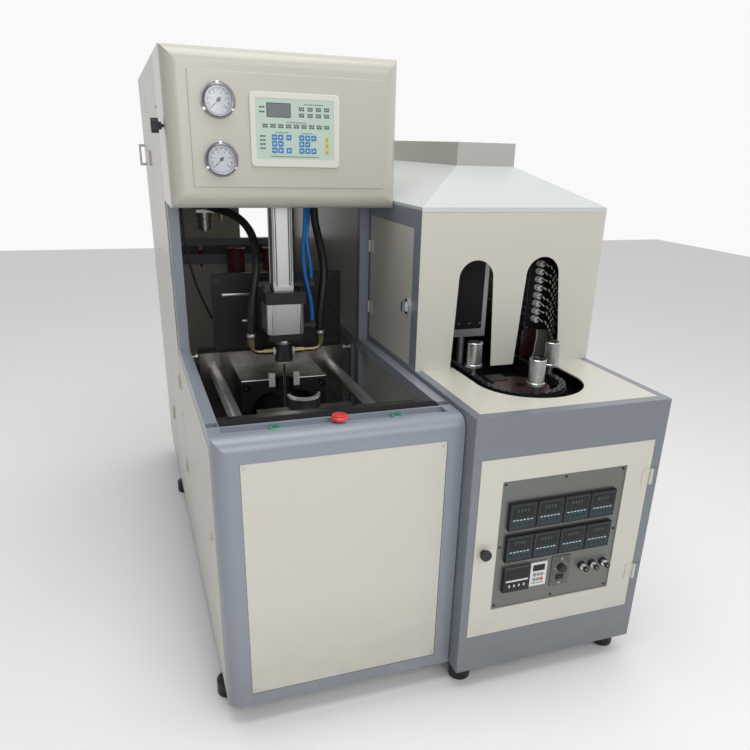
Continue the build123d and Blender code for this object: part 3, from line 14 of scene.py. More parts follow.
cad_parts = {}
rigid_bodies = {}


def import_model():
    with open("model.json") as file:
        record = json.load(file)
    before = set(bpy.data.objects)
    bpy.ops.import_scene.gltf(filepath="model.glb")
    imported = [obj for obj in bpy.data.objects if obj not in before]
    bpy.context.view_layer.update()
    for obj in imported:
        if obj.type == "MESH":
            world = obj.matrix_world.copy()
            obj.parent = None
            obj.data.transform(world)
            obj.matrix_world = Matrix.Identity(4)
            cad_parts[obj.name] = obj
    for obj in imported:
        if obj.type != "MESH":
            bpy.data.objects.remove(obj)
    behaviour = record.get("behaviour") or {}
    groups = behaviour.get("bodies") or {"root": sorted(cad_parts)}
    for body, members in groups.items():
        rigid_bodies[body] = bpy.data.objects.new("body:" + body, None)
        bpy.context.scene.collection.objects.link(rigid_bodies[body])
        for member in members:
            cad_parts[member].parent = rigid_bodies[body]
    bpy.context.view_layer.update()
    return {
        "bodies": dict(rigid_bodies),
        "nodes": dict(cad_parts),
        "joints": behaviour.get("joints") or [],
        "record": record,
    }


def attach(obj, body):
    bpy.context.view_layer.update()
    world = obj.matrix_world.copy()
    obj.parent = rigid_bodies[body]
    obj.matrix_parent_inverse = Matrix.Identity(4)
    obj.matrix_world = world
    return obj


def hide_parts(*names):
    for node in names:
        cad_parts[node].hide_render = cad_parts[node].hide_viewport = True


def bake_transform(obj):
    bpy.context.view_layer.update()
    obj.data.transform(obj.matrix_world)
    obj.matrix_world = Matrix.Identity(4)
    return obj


LOG = logging.getLogger("blow_moulder")
MM = 0.001
Point = tuple[float, float, float]

# The blower's left front corner on the floor, in the row frame, in metres; every other place
# in this file is given in millimetres from that corner, unless its comment says metres
BLOWER_LEFT = -0.566
BLOWER_FRONT = -0.8935
TO_ROW = Matrix.Translation((BLOWER_LEFT, BLOWER_FRONT, 0.0)) @ Matrix.Scale(MM, 4)

SHARP_ANGLE = math.radians(25)
BLOWER_MIDDLE = 300.0
BLOW_LINE = 665.0
CHANNEL_FLOOR = 777.9

FORWARD: Point = (0.0, -1.0, 0.0)
BACKWARD: Point = (0.0, 1.0, 0.0)
LEFTWARD: Point = (-1.0, 0.0, 0.0)
RIGHTWARD: Point = (1.0, 0.0, 0.0)
UPWARD: Point = (0.0, 0.0, 1.0)
DOWNWARD: Point = (0.0, 0.0, -1.0)
ORIGIN: Point = (0.0, 0.0, 0.0)


class Body(Enum):
    """The bodies that this file's pieces ride on, the fixed frame first."""

    MACHINE = "machine_frame"
    CARRIAGE = "clamp_carriage"
    NOZZLE = "nozzle"
    STOP = "emergency_stop"
    START_LEFT = "start_button_left"
    START_RIGHT = "start_button_right"
    HEATER_DOOR = "heater_door"
    SIDE_DOOR = "heater_side_door"
    SELECTOR_1 = "selector_lever_1"
    SELECTOR_2 = "selector_lever_2"
    SELECTOR_3 = "selector_lever_3"


class Effect(Enum):
    """Shader groups that several finishes share."""

    CLOUDS = "clouds"
    STAIN = "stain"
    GRIME = "grime"
    GRAIN = "grain"


def place(x: float, y: float, z: float) -> Vector:
    """Return a point given in millimetres from the blower's corner, in the row frame."""
    return TO_ROW @ Vector((x, y, z))


def tint(code: str) -> tuple[float, float, float, float]:
    """Turn a hex colour code into the linear colour that the shaders read."""
    channels = (int(code[start : start + 2], 16) / 255 for start in (1, 3, 5))
    linear = [c / 12.92 if c < 0.04045 else ((c + 0.055) / 1.055) ** 2.4 for c in channels]
    return (linear[0], linear[1], linear[2], 1.0)


def linked(name: str, data: bpy.types.ID) -> bpy.types.Object:
    """Make an object of some data and link it to the scene."""
    made = bpy.data.objects.new(name, data)
    bpy.context.collection.objects.link(made)
    return made


def around(middle: Point, radius: float, angle: float) -> Point:
    """Return the point of an upright circle that faces forward, at an angle in radians."""
    x, y, z = middle
    return (x + radius * math.cos(angle), y, z + radius * math.sin(angle))


class Graph:
    """A node tree under construction, for shaders and for geometry."""

    def __init__(self, tree: bpy.types.NodeTree) -> None:
        """Take over a node tree."""
        self.tree = tree
        self.inlet: bpy.types.Node | None = None
        self.outlet: bpy.types.Node | None = None

    def node(
        self, kind: str, *feeds: object, ins: dict[str, object] | None = None, **settings: object
    ) -> bpy.types.Node:
        """Add a node.

        Args:
            kind: Blender's name of the node's type.
            feeds: What goes into its shown inputs, in order: a socket, a node or a value.
            ins: What goes into inputs that are picked by name.
            settings: Properties that are set before the inputs are fed.

        Returns:
            The new node.
        """
        made = self.tree.nodes.new(kind)
        for name, value in settings.items():
            setattr(made, name, value)
        shown = [socket for socket in made.inputs if socket.enabled]
        for socket, feed in zip(shown, feeds):
            self.feed(socket, feed)
        for name, feed in (ins or {}).items():
            self.feed(made.inputs[name], feed)
        return made

    def feed(self, socket: bpy.types.NodeSocket, feed: object) -> None:
        """Link a socket or a node's first shown output to an input, or set the input's value."""
        if isinstance(feed, bpy.types.Node):
            feed = next(output for output in feed.outputs if output.enabled)
        if isinstance(feed, bpy.types.NodeSocket):
            self.tree.links.new(feed, socket)
        else:
            socket.default_value = feed

    def take(self, name: str, kind: str, default: object = None) -> bpy.types.NodeSocket:
        """Add a named input to the tree and return the socket that gives its value."""
        made = self.tree.interface.new_socket(name, in_out="INPUT", socket_type=kind)
        if default is not None:
            made.default_value = default
        if self.inlet is None:
            self.inlet = self.tree.nodes.new("NodeGroupInput")
        return self.inlet.outputs[name]

    def floats(self, **defaults: float) -> list[bpy.types.NodeSocket]:
        """Add number inputs, each named after its keyword, and return their sockets."""
        names = {key: key.replace("_", " ").title() for key in defaults}
        return [self.take(names[key], "NodeSocketFloat", value) for key, value in defaults.items()]

    def give_colour(self, colour: object, mask: object) -> None:
        """Add the two outputs that the colour effects share."""
        self.give("Colour", "NodeSocketColor", colour)
        self.give("Mask", "NodeSocketFloat", mask)

    def give(self, name: str, kind: str, feed: object) -> None:
        """Add a named output to the tree and feed it."""
        self.tree.interface.new_socket(name, in_out="OUTPUT", socket_type=kind)
        if self.outlet is None:
            self.outlet = self.tree.nodes.new("NodeGroupOutput")
        self.feed(self.outlet.inputs[name], feed)

    def math(self, operation: str, *feeds: object, clamp: bool = False) -> bpy.types.Node:
        """Add a Math node."""
        return self.node("ShaderNodeMath", *feeds, operation=operation, use_clamp=clamp)

    def blend_colours(self, share: object, low: object, high: object) -> bpy.types.NodeSocket:
        """Mix two colours and return the socket that gives the result."""
        mix = self.node("ShaderNodeMix", data_type="RGBA")
        self.feed(mix.inputs[0], share)
        self.feed(mix.inputs[6], low)
        self.feed(mix.inputs[7], high)
        return mix.outputs[2]


class EffectShelf:
    """Builds each shared shader group once and hands it out."""

    def group(self, effect: Effect) -> bpy.types.NodeTree:
        """Return the group of an effect, made the first time it is asked for."""
        found = bpy.data.node_groups.get(effect.value)
        if found:
            return found
        graph = Graph(bpy.data.node_groups.new(effect.value, "ShaderNodeTree"))
        fillers = {
            Effect.CLOUDS: self.clouds,
            Effect.STAIN: self.stain,
            Effect.GRIME: self.grime,
            Effect.GRAIN: self.grain,
        }
        fillers[effect](graph)
        return graph.tree

    @staticmethod
    def spot(graph: Graph) -> bpy.types.NodeSocket:
        """Return the socket that gives a surface point in the piece's own coordinates."""
        return graph.node("ShaderNodeTexCoord").outputs["Object"]

    def clouds(self, graph: Graph) -> None:
        """Vary a colour in soft clouds, as paint and cast metal do."""
        colour = graph.take("Colour", "NodeSocketColor")
        depth, scale = graph.floats(depth=0.05, scale=6.0)
        noise = graph.node("ShaderNodeTexNoise", self.spot(graph), scale, 4.0, 0.6)
        swing = graph.math("SUBTRACT", noise.outputs[0], 0.5)
        level = graph.math("MULTIPLY_ADD", swing, graph.math("MULTIPLY", depth, 2.0), 1.0)
        varied = graph.node("ShaderNodeVectorMath", colour, ins={"Scale": level}, operation="SCALE")
        graph.give_colour(varied, noise)

    def stain(self, graph: Graph) -> None:
        """Lay patches of a second colour over a first, as oil, heat and handling leave them."""
        colour = graph.take("Colour", "NodeSocketColor")
        stain = graph.take("Stain", "NodeSocketColor")
        share, scale = graph.floats(share=0.2, scale=12.0)
        noise = graph.node("ShaderNodeTexNoise", self.spot(graph), scale, 6.0, 0.65)
        patch = graph.node("ShaderNodeMapRange", noise.outputs[0], 0.42, 0.68, 0.0, 1.0)
        mask = graph.math("MULTIPLY", patch, share, clamp=True)
        graph.give_colour(graph.blend_colours(mask, colour, stain), mask)

    def grime(self, graph: Graph) -> None:
        """Darken a surface with dust towards the floor."""
        colour = graph.take("Colour", "NodeSocketColor")
        dust = graph.take("Dust", "NodeSocketColor")
        share, reach = graph.floats(share=0.2, reach=0.3)
        spot = self.spot(graph)
        noise = graph.node("ShaderNodeTexNoise", spot, 16.0, 5.0, 0.6)
        height = graph.node("ShaderNodeSeparateXYZ", spot).outputs["Z"]
        fall = graph.math("SUBTRACT", 1.0, graph.math("DIVIDE", height, reach), clamp=True)
        uneven = graph.math("MULTIPLY", fall, graph.math("MULTIPLY", noise.outputs[0], 1.6))
        mask = graph.math("MULTIPLY", uneven, share, clamp=True)
        graph.give_colour(graph.blend_colours(mask, colour, dust), mask)

    def grain(self, graph: Graph) -> None:
        """Give a fine height: round cells for orange peel, long ones for brushed metal."""
        stretch = graph.take("Stretch", "NodeSocketVector", (400.0, 400.0, 400.0))
        mapped = graph.node("ShaderNodeVectorMath", self.spot(graph), stretch, operation="MULTIPLY")
        noise = graph.node("ShaderNodeTexNoise", mapped.outputs[0], 1.0, 2.0, 0.5)
        graph.give("Height", "NodeSocketFloat", noise.outputs[0])


SHELF = EffectShelf()
# How many cells of grain run along x, y and z in a metre
EVEN_GRAIN = (420.0, 420.0, 420.0)
DUST = "#6b6459"
# The height in metres over which dust thins out
DUST_REACH = 0.35


@dataclass(frozen=True)
class Finish:
    """A finish: its colour, its slot in the record, how it varies and how rough it is.

    The slot is empty where only nodes carried over from the CAD, or the floor, wear the finish.
    """

    name: str
    colour: str
    slot: str = ""
    roughness: float = 0.45
    depth: float = 0.05
    cloud_scale: float = 5.0
    stain: str = "#5d564d"
    stain_share: float = 0.0
    stain_scale: float = 12.0
    dust_share: float = 0.0
    stretch: Point = EVEN_GRAIN
    relief: float = 0.06
    spread: float = 0.1
    second: str = ""
    limit: float = 0.0

    def material(self) -> bpy.types.Material:
        """Return the material of this finish, built the first time it is asked for."""
        return bpy.data.materials.get(self.name) or self.build()

    def build(self) -> bpy.types.Material:
        """Build the material from the shared effects."""
        material = bpy.data.materials.new(self.name)
        material.use_nodes = True
        graph = Graph(material.node_tree)
        shader = graph.tree.nodes["Principled BSDF"]
        clouds = self.effect(graph, Effect.CLOUDS, self.ground(graph), self.depth, self.cloud_scale)
        patches = (tint(self.stain), self.stain_share, self.stain_scale)
        stain = self.effect(graph, Effect.STAIN, clouds.outputs[0], *patches)
        dust = (tint(DUST), self.dust_share, DUST_REACH)
        grime = self.effect(graph, Effect.GRIME, stain.outputs[0], *dust)
        uneven = graph.math("ADD", clouds.outputs["Mask"], stain.outputs["Mask"])
        rough = graph.math("MULTIPLY_ADD", uneven, self.spread, self.roughness - 0.5 * self.spread)
        grain = self.effect(graph, Effect.GRAIN, self.stretch)
        depths = {"Strength": self.relief, "Distance": MM, "Height": grain.outputs[0]}
        bump = graph.node("ShaderNodeBump", ins=depths)
        for name, feed in (("Base Color", grime), ("Roughness", rough), ("Normal", bump)):
            graph.feed(shader.inputs[name], feed)
        self.tune(shader)
        return material

    def ground(self, graph: Graph) -> object:
        """Return the base colour, or the socket that changes it above a height in metres."""
        if not self.second:
            return tint(self.colour)
        spot = graph.node("ShaderNodeSeparateXYZ", EffectShelf.spot(graph))
        past = graph.math("GREATER_THAN", spot.outputs["Z"], self.limit)
        return graph.blend_colours(past, tint(self.colour), tint(self.second))

    def effect(self, graph: Graph, effect: Effect, *feeds: object) -> bpy.types.Node:
        """Place a shared effect in the material with this finish's own values."""
        made = graph.tree.nodes.new("ShaderNodeGroup")
        made.node_tree = SHELF.group(effect)
        for socket, feed in zip(made.inputs, feeds):
            graph.feed(socket, feed)
        return made

    def tune(self, shader: bpy.types.Node) -> None:
        """Set what is the same all over this kind of surface."""
        shader.inputs["Specular IOR Level"].default_value = 0.4


@dataclass(frozen=True)
class Paint(Finish):
    """Powder coat or enamel over sheet steel."""

    coat: float = 0.25

    def tune(self, shader: bpy.types.Node) -> None:
        """Add the thin gloss layer of baked paint."""
        shader.inputs["Coat Weight"].default_value = self.coat
        shader.inputs["Coat Roughness"].default_value = 0.22


@dataclass(frozen=True)
class Metal(Finish):
    """Bare, plated or oiled metal."""

    def tune(self, shader: bpy.types.Node) -> None:
        """Make the surface metallic all over."""
        shader.inputs["Metallic"].default_value = 1.0


@dataclass(frozen=True)
class Glass(Finish):
    """Clear glass or acrylic."""

    def tune(self, shader: bpy.types.Node) -> None:
        """Let the light through."""
        shader.inputs["Transmission Weight"].default_value = 1.0
        shader.inputs["IOR"].default_value = 1.45


CREAM = Paint("cream_enamel", "#cfccc1", "cream_paint", 0.42, 0.03, 2.5, dust_share=0.25)
HEAD_CREAM = Paint("head_enamel", "#c0bcb0", "head_paint", 0.34, 0.03, 2.0, coat=0.45)
FRAME_GREY = Paint("frame_enamel", "#8a919d", "frame_paint", 0.34, 0.04, 4.0, dust_share=0.4, coat=0.4)
HEATER_GREY = Paint("heater_enamel", "#787e87", "heater_paint", 0.4, 0.04, 3.0, dust_share=0.4)
HOOD_WHITE = Paint(
    "hood_enamel", "#cdd1cf", "hood_paint", 0.4, 0.03, 2.0, second="#b3b4ae", limit=1.3345
)
BLACK = Paint(
    "black_enamel", "#101114", "black_paint", 0.52, 0.2, 9.0, stain="#26282b", stain_share=0.3, coat=0.1
)
INNER_BLACK = Paint("tunnel_black", "#0f1013", "black_paint", 0.5, 0.2, 9.0, coat=0.1)
OXIDE_RED = Paint("oxide_red", "#7a3534", "silencer_paint", 0.5, 0.12, 20.0)
# A dark red that paints a rust-coloured reflection, worn by the drum cover and the lower screen; its dark
# patches are stains
RED_PAINTED_REFLECTION = Paint("red_painted_reflection", "#341817", "silencer_paint", 0.38, 0.2, 16.0, "#161011", 0.4)
GREY_SCREEN = Paint("grey_screen", "#7f8176", "black_paint", 0.45, 0.1, 16.0)
GUARD_GREY = Paint("guard_grey", "#2b2c28", "black_paint", 0.7, 0.1, 16.0, coat=0.0)
REAR_GREY = Paint("rear_strip_grey", "#565750", "cream_paint", 0.5, 0.1, 6.0, coat=0.1)
PLATE = Metal(
    "brushed_plate", "#7d7f7b", "instrument_plate", 0.42,
    0.04, 6.0, stretch=(40.0, 700.0, 1400.0), relief=0.12,
)
OILED_GRAIN = (120.0, 900.0, 900.0)
OILED = Metal(
    "oiled_steel", "#8b8883", "machined_steel", 0.3, 0.2,
    9.0, "#3b3732", 0.6, 14.0, 0.0, OILED_GRAIN, 0.14, 0.3,
)
BAR_CHROME = Metal("bar_chrome", "#fafaf9", "", 0.34, 0.05, 12.0, "#8c8881", 0.15, 20.0)
CHAIN_STEEL = Metal("chain_steel", "#6a6c70", "machined_steel", 0.3, 0.2, 60.0)
CHROME = Metal("chrome", "#d5d7da", "chrome_steel", 0.12, 0.05, 20.0, relief=0.02, spread=0.08)
BLACK_STEEL = Metal("blued_steel", "#4c4e52", "machined_steel", 0.3, 0.2, 18.0, "#1c1b1a", 0.4)
NOZZLE_STEEL = Metal("nozzle_steel", "#5b5d61", "", 0.3, 0.1, 30.0, second="#d4d5d5", limit=0.8192)
# The mould halves' steel is painted dark below a height, as painted shade in the cavity, and pale grey
# above it, as painted light on the top faces; the dark patches are oil stains
MOULD_STEEL_PAINTED_LIGHT_AND_SHADE = Metal(
    "mould_painted_light_and_shade", "#636567", "", 0.32, 0.14, 14.0, "#2b2b2c", 0.45, 18.0, second="#b3b4b3", limit=0.7035
)
RIM_BRIGHT = Metal("bright_zinc", "#f4f4f3", "chrome_steel", 0.38, 0.03, 40.0)
# The neck ring is dark steel with its top painted near white above a height: a painted highlight
RING_STEEL_PAINTED_HIGHLIGHT = Metal("ring_painted_highlight", "#4b4d50", "", 0.4, 0.05, 40.0, second="#f2f2f0", limit=0.7335)
TURNED_GRAIN = (90.0, 90.0, 1500.0)
ALUMINIUM = Metal(
    "turned_aluminium", "#b9bbbc", "mould_aluminium", 0.3,
    0.08, 14.0, "#77797a", 0.25, 30.0, 0.0, TURNED_GRAIN, 0.14,
)
TUBE_GRAIN = (900.0, 900.0, 40.0)
ANODISED = Metal(
    "anodised_tube", "#dadcd9", "cylinder_aluminium", 0.38, 0.04, 6.0, stretch=TUBE_GRAIN, relief=0.06
)
# The reflector sheets wear a pale grey without metal shine: a painted reflection in place of the polished
# sheet's bright mirror image; the patches are stains
REFLECTOR_PAINTED_REFLECTION = Finish("reflector_sheet", "#cdcdc9", "reflector_sheet", 0.28, 0.08, 7.0, "#a09a91", 0.15, 8.0)
BRASS = Metal("brass", "#998e6c", "brass_fitting", 0.34, 0.15, 40.0, "#4b4434", 0.4, 60.0)
ZINC = Metal("zinc_plate", "#c9cac7", "chrome_steel", 0.42, 0.12, 60.0)
INSERT = Metal("insert_aluminium", "#e2e3e3", "", 0.55, 0.06, 30.0)
RING_METAL = Metal("gauge_ring", "#97949b", "chrome_steel", 0.24, 0.08, 40.0)
MEMBRANE = Finish("panel_film", "#bccfc2", "membrane", 0.45, 0.02, 8.0)
SCREEN = Finish("display_grey", "#74777a", "black_plastic", 0.3, 0.06, 60.0)
PRINT = Finish("dark_print", "#56625c", "membrane", 0.5, 0.1, 300.0)
PALE_PRINT = Finish("pale_print", "#dfe6e6", "membrane", 0.5, 0.05, 300.0)
KEY_BLUE = Finish("key_blue", "#3f80ba", "blue_plastic", 0.4, 0.08, 200.0)
KEY_YELLOW = Finish("key_yellow", "#d4c33a", "membrane", 0.45, 0.06, 200.0)
BLACK_PLASTIC = Finish("black_plastic", "#141517", "black_plastic", 0.38, 0.1, 50.0, relief=0.1)
SLATE_BAND = Finish("slate_band", "#1d3a44", "black_plastic", 0.35, 0.12, 80.0)
RED_PLASTIC = Finish("red_plastic", "#c22a2c", "red_plastic", 0.33, 0.06, 60.0)
GREEN_PLASTIC = Finish("green_plastic", "#1a5b4b", "green_plastic", 0.35, 0.06, 60.0)
BLUE_TUBE = Finish("blue_tube", "#1c6cb4", "blue_plastic", 0.2, 0.08, 30.0, relief=0.02)
RUBBER = Finish(
    "hose_rubber", "#131416", "black_rubber", 0.42, 0.2, 40.0, "#34363a", 0.3, 60.0, relief=0.12
)
WHITE_PLASTIC = Finish("white_plastic", "#dcdedd", "membrane", 0.4, 0.05, 60.0)
CERAMIC = Finish("white_ceramic", "#fbfbf8", "membrane", 0.5, 0.02, 90.0, "#dcd9d0", 0.15, 80.0)
SLEEVE = Finish("wire_sleeve", "#f4f4f0", "membrane", 0.6, 0.06, 300.0)
DARK_SLEEVE = Finish("dark_sleeve", "#17181a", "black_plastic", 0.6, 0.1, 300.0)
DIAL_PRINT = Finish("dial_print", "#23272e", "black_plastic", 0.5, 0.05, 100.0)
DIAL = Finish("dial_face", "#e6ebf4", "membrane", 0.5, 0.02, 60.0)
FLANGE = Finish("gauge_flange", "#938e94", "", 0.18, 0.08, 30.0, relief=0.0)
BEZEL = Finish("panel_bezel", "#dcd9d0", "", 0.4, 0.03, 8.0)
CASE_BLACK = Finish("case_black", "#191c20", "black_plastic", 0.3, 0.1, 60.0)
SCREEN_BLACK = Finish("screen_black", "#0b0d0f", "black_plastic", 0.18, 0.2, 40.0, relief=0.02)
DIGIT = Finish("screen_digit", "#39434a", "membrane", 0.3, 0.1, 100.0)
GREY_KEY = Finish("grey_key", "#8d9296", "black_plastic", 0.45, 0.08, 100.0)
STRIP_RUBBER = Finish("strip_rubber", "#050607", "black_plastic", 0.85, 0.1, 40.0)
FILTER_BOWL = Metal("filter_bowl", "#a3a69a", "", 0.32, 0.15, 30.0, second="#1c1d1f", limit=1.17)
CLEAR = Glass("gauge_glass", "#ffffff", "lamp_glass", 0.06, 0.0, relief=0.0, spread=0.02)
QUARTZ = Glass("lamp_glass", "#eef1f4", "lamp_glass", 0.08, 0.0, relief=0.0, spread=0.02)
OLIVE = Paint("olive_plate", "#565a4c", "black_plastic", 0.5, 0.08, 20.0)
FLOOR = Finish("studio_floor", "#f7f7f7", "", 0.85, 0.01, 1.0, relief=0.0)
STOP_RING = Finish("stop_ring", "#e05a55", "red_plastic", 0.35, 0.05)
START_BOSS = Finish("start_boss", "#23705b", "green_plastic", 0.35, 0.05)
DRAIN_RED = Paint("drain_red", "#8f2325", "red_plastic", 0.4, 0.1)

CAD_WEAR = (
    CREAM, FRAME_GREY, HEAD_CREAM, HEATER_GREY, HOOD_WHITE, BLACK, PLATE,
    OILED, CHROME, ALUMINIUM, ANODISED, REFLECTOR_PAINTED_REFLECTION, MEMBRANE, BLACK_PLASTIC,
    RED_PLASTIC, GREEN_PLASTIC, BLUE_TUBE, RUBBER, BRASS, OXIDE_RED, QUARTZ,
)
CAD_FINISHES = {finish.slot: finish for finish in CAD_WEAR}


def settle(
    name: str, mesh: bpy.types.Mesh, finish: Finish, body: Body = Body.MACHINE
) -> bpy.types.Object:
    """Make a finished mesh a piece of the machine.

    Args:
        name: The piece's name.
        mesh: Its mesh, already in the row frame.
        finish: What it wears.
        body: The body that it rides on.

    Returns:
        The piece.
    """
    if not mesh.materials:
        mesh.materials.append(finish.material())
    mesh.polygons.foreach_set("use_smooth", [True] * len(mesh.polygons))
    mesh.set_sharp_from_angle(angle=SHARP_ANGLE)
    piece = linked(name, mesh)
    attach(piece, body.value)
    LOG.info("%s: %d faces on %s", name, len(mesh.polygons), body.value)
    return piece


class Shape:
    """A mesh under construction, in millimetres from the blower's corner."""

    def __init__(self) -> None:
        """Start with no faces."""
        self.mesh = bmesh.new()

    def add(self, part: bmesh.types.BMesh) -> "Shape":
        """Take in a closed part, its doubles merged and its faces turned outwards."""
        bmesh.ops.remove_doubles(part, verts=part.verts, dist=1e-4)
        bmesh.ops.recalc_face_normals(part, faces=part.faces)
        scratch = bpy.data.meshes.new("scratch")
        part.to_mesh(scratch)
        part.free()
        self.mesh.from_mesh(scratch)
        bpy.data.meshes.remove(scratch)
        return self

    def block(self, low: Point, high: Point, bevel: float = 0.4) -> "Shape":
        """Add a box with softened edges between two corners."""
        part = bmesh.new()
        size = Vector(high) - Vector(low)
        centre = (Vector(high) + Vector(low)) / 2
        seat = Matrix.Translation(centre) @ Matrix.Diagonal((*size, 1.0))
        bmesh.ops.create_cube(part, size=1.0, matrix=seat)
        if bevel:
            edges = part.edges[:]
            bmesh.ops.bevel(part, geom=edges, offset=bevel, segments=2, profile=0.5, affect="EDGES")
        return self.add(part)

    def turned(
        self, foot: Point, along: Point, profile: Sequence[tuple[float, float]], sides: int = 36
    ) -> "Shape":
        """Turn a profile about an axis.

        Args:
            foot: Where the axis starts.
            along: The axis's direction.
            profile: Radius and distance along the axis, from pole to pole, or a closed ring.
            sides: How many sides the turned part has.

        Returns:
            This shape.
        """
        axis = Vector(along).normalized()
        turn = axis.to_track_quat("Z", "Y").to_matrix()
        part = bmesh.new()
        rings = []
        for radius, reach in profile:
            count = sides if radius > 1e-6 else 1
            angles = [math.tau * k / sides for k in range(count)]
            round_points = [Vector((radius * math.cos(a), radius * math.sin(a), reach)) for a in angles]
            rings.append([part.verts.new(Vector(foot) + turn @ point) for point in round_points])
        pairs = list(zip(rings, rings[1:]))
        if profile[0][0] > 1e-6:
            pairs.append((rings[-1], rings[0]))
        for near, far in pairs:
            for k in range(sides):
                loop = (near[k % len(near)], near[(k + 1) % len(near)])
                loop += (far[(k + 1) % len(far)], far[k % len(far)])
                corners = dict.fromkeys(loop)
                if len(corners) > 2:
                    part.faces.new(corners)
        return self.add(part)

    def rod(
        self, start: Point, end: Point, radius: float, edge: float = 0.4, sides: int = 32
    ) -> "Shape":
        """Add a round bar with softened rims between two points."""
        along = Vector(end) - Vector(start)
        length = along.length
        rim = radius - edge
        profile = [(0.0, 0.0), (rim, 0.0), (radius, edge)]
        profile += [(radius, length - edge), (rim, length), (0.0, length)]
        return self.turned(start, tuple(along), profile, sides)

    def ring(
        self, foot: Point, along: Point, outer: float, inner: float, length: float, edge: float = 0.4
    ) -> "Shape":
        """Add a round band with softened outer rims."""
        rim = outer - edge
        profile = [(inner, 0.0), (rim, 0.0), (outer, edge)]
        profile += [(outer, length - edge), (rim, length), (inner, length)]
        return self.turned(foot, along, profile, 48)

    def slab(self, outline: Iterable[Point], push: Point) -> "Shape":
        """Push a flat outline of points along a vector."""
        part = bmesh.new()
        face = part.faces.new([part.verts.new(point) for point in outline])
        made = bmesh.ops.extrude_face_region(part, geom=[face])
        moved = [item for item in made["geom"] if isinstance(item, bmesh.types.BMVert)]
        bmesh.ops.translate(part, verts=moved, vec=push)
        return self.add(part)

    def pipe(self, points: Sequence[Point], radius: float) -> "Shape":
        """Add a bent pipe whose middle line follows control points smoothly."""
        line = smooth_line("scratch_pipe", points, radius)
        mesh = bpy.data.meshes.new_from_object(line)
        mesh.transform(TO_ROW.inverted())
        part = bmesh.new()
        part.from_mesh(mesh)
        bpy.data.meshes.remove(mesh)
        discard(line)
        return self.add(part)

    def tray(self, low: Point, high: Point, inset: float, depth: float) -> "Shape":
        """Add a box whose forward face is sunk inside a flat rim."""
        part = bmesh.new()
        seat = Matrix.Translation((Vector(high) + Vector(low)) / 2)
        seat @= Matrix.Diagonal((*(Vector(high) - Vector(low)), 1.0))
        bmesh.ops.create_cube(part, size=1.0, matrix=seat)
        front = [face for face in part.faces if face.calc_center_median().y < low[1] + 1e-3]
        for thickness in (inset, 0.06):
            bmesh.ops.inset_individual(part, faces=front, thickness=thickness)
        outer = [
            edge
            for edge in part.edges
            if edge.calc_face_angle(0.0) > 1.0 and all(v.co.y < low[1] + 1e-3 for v in edge.verts)
        ]
        bmesh.ops.translate(part, verts=front[0].verts[:], vec=(0.0, depth, 0.0))
        bmesh.ops.bevel(part, geom=outer, offset=1.2, segments=2, profile=0.5, affect="EDGES")
        return self.add(part)

    def piece(
        self, name: str, finish: Finish, body: Body = Body.MACHINE, slot: str = ""
    ) -> bpy.types.Object:
        """Move the shape to its place in the row frame and make it a piece."""
        bmesh.ops.transform(self.mesh, matrix=TO_ROW, verts=self.mesh.verts)
        mesh = bpy.data.meshes.new(name)
        self.mesh.to_mesh(mesh)
        self.mesh.free()
        return settle(name, mesh, finish, body)


def smooth_line(name: str, points: Sequence[Point], radius: float = 0.0) -> bpy.types.Object:
    """Lay a smooth curve through a route's control points.

    Args:
        name: The curve's name.
        points: Control points in millimetres from the blower's corner.
        radius: The radius of the round cross-section in millimetres, or 0 for the bare line.

    Returns:
        The curve object, in metres in the row frame.
    """
    curve = bpy.data.curves.new(name, "CURVE")
    curve.dimensions = "3D"
    curve.resolution_u = 10
    curve.bevel_depth = radius * MM
    curve.bevel_resolution = 5
    curve.use_fill_caps = True
    spline = curve.splines.new("NURBS")
    spline.points.add(len(points) - 1)
    for knot, point in zip(spline.points, points):
        knot.co = (*place(*point), 1.0)
    spline.order_u = 3
    spline.use_endpoint_u = True
    line = linked(name, curve)
    bpy.context.view_layer.update()
    return line


def discard(piece: bpy.types.Object) -> None:
    """Remove a helper object."""
    bpy.data.objects.remove(piece, do_unlink=True)


@dataclass(frozen=True)
class Spot:
    """Where one repeated part sits, which way it faces and which way its width runs."""

    at: Point
    facing: Point = FORWARD
    across: Point = RIGHTWARD


Grower = Callable[[Graph], None]


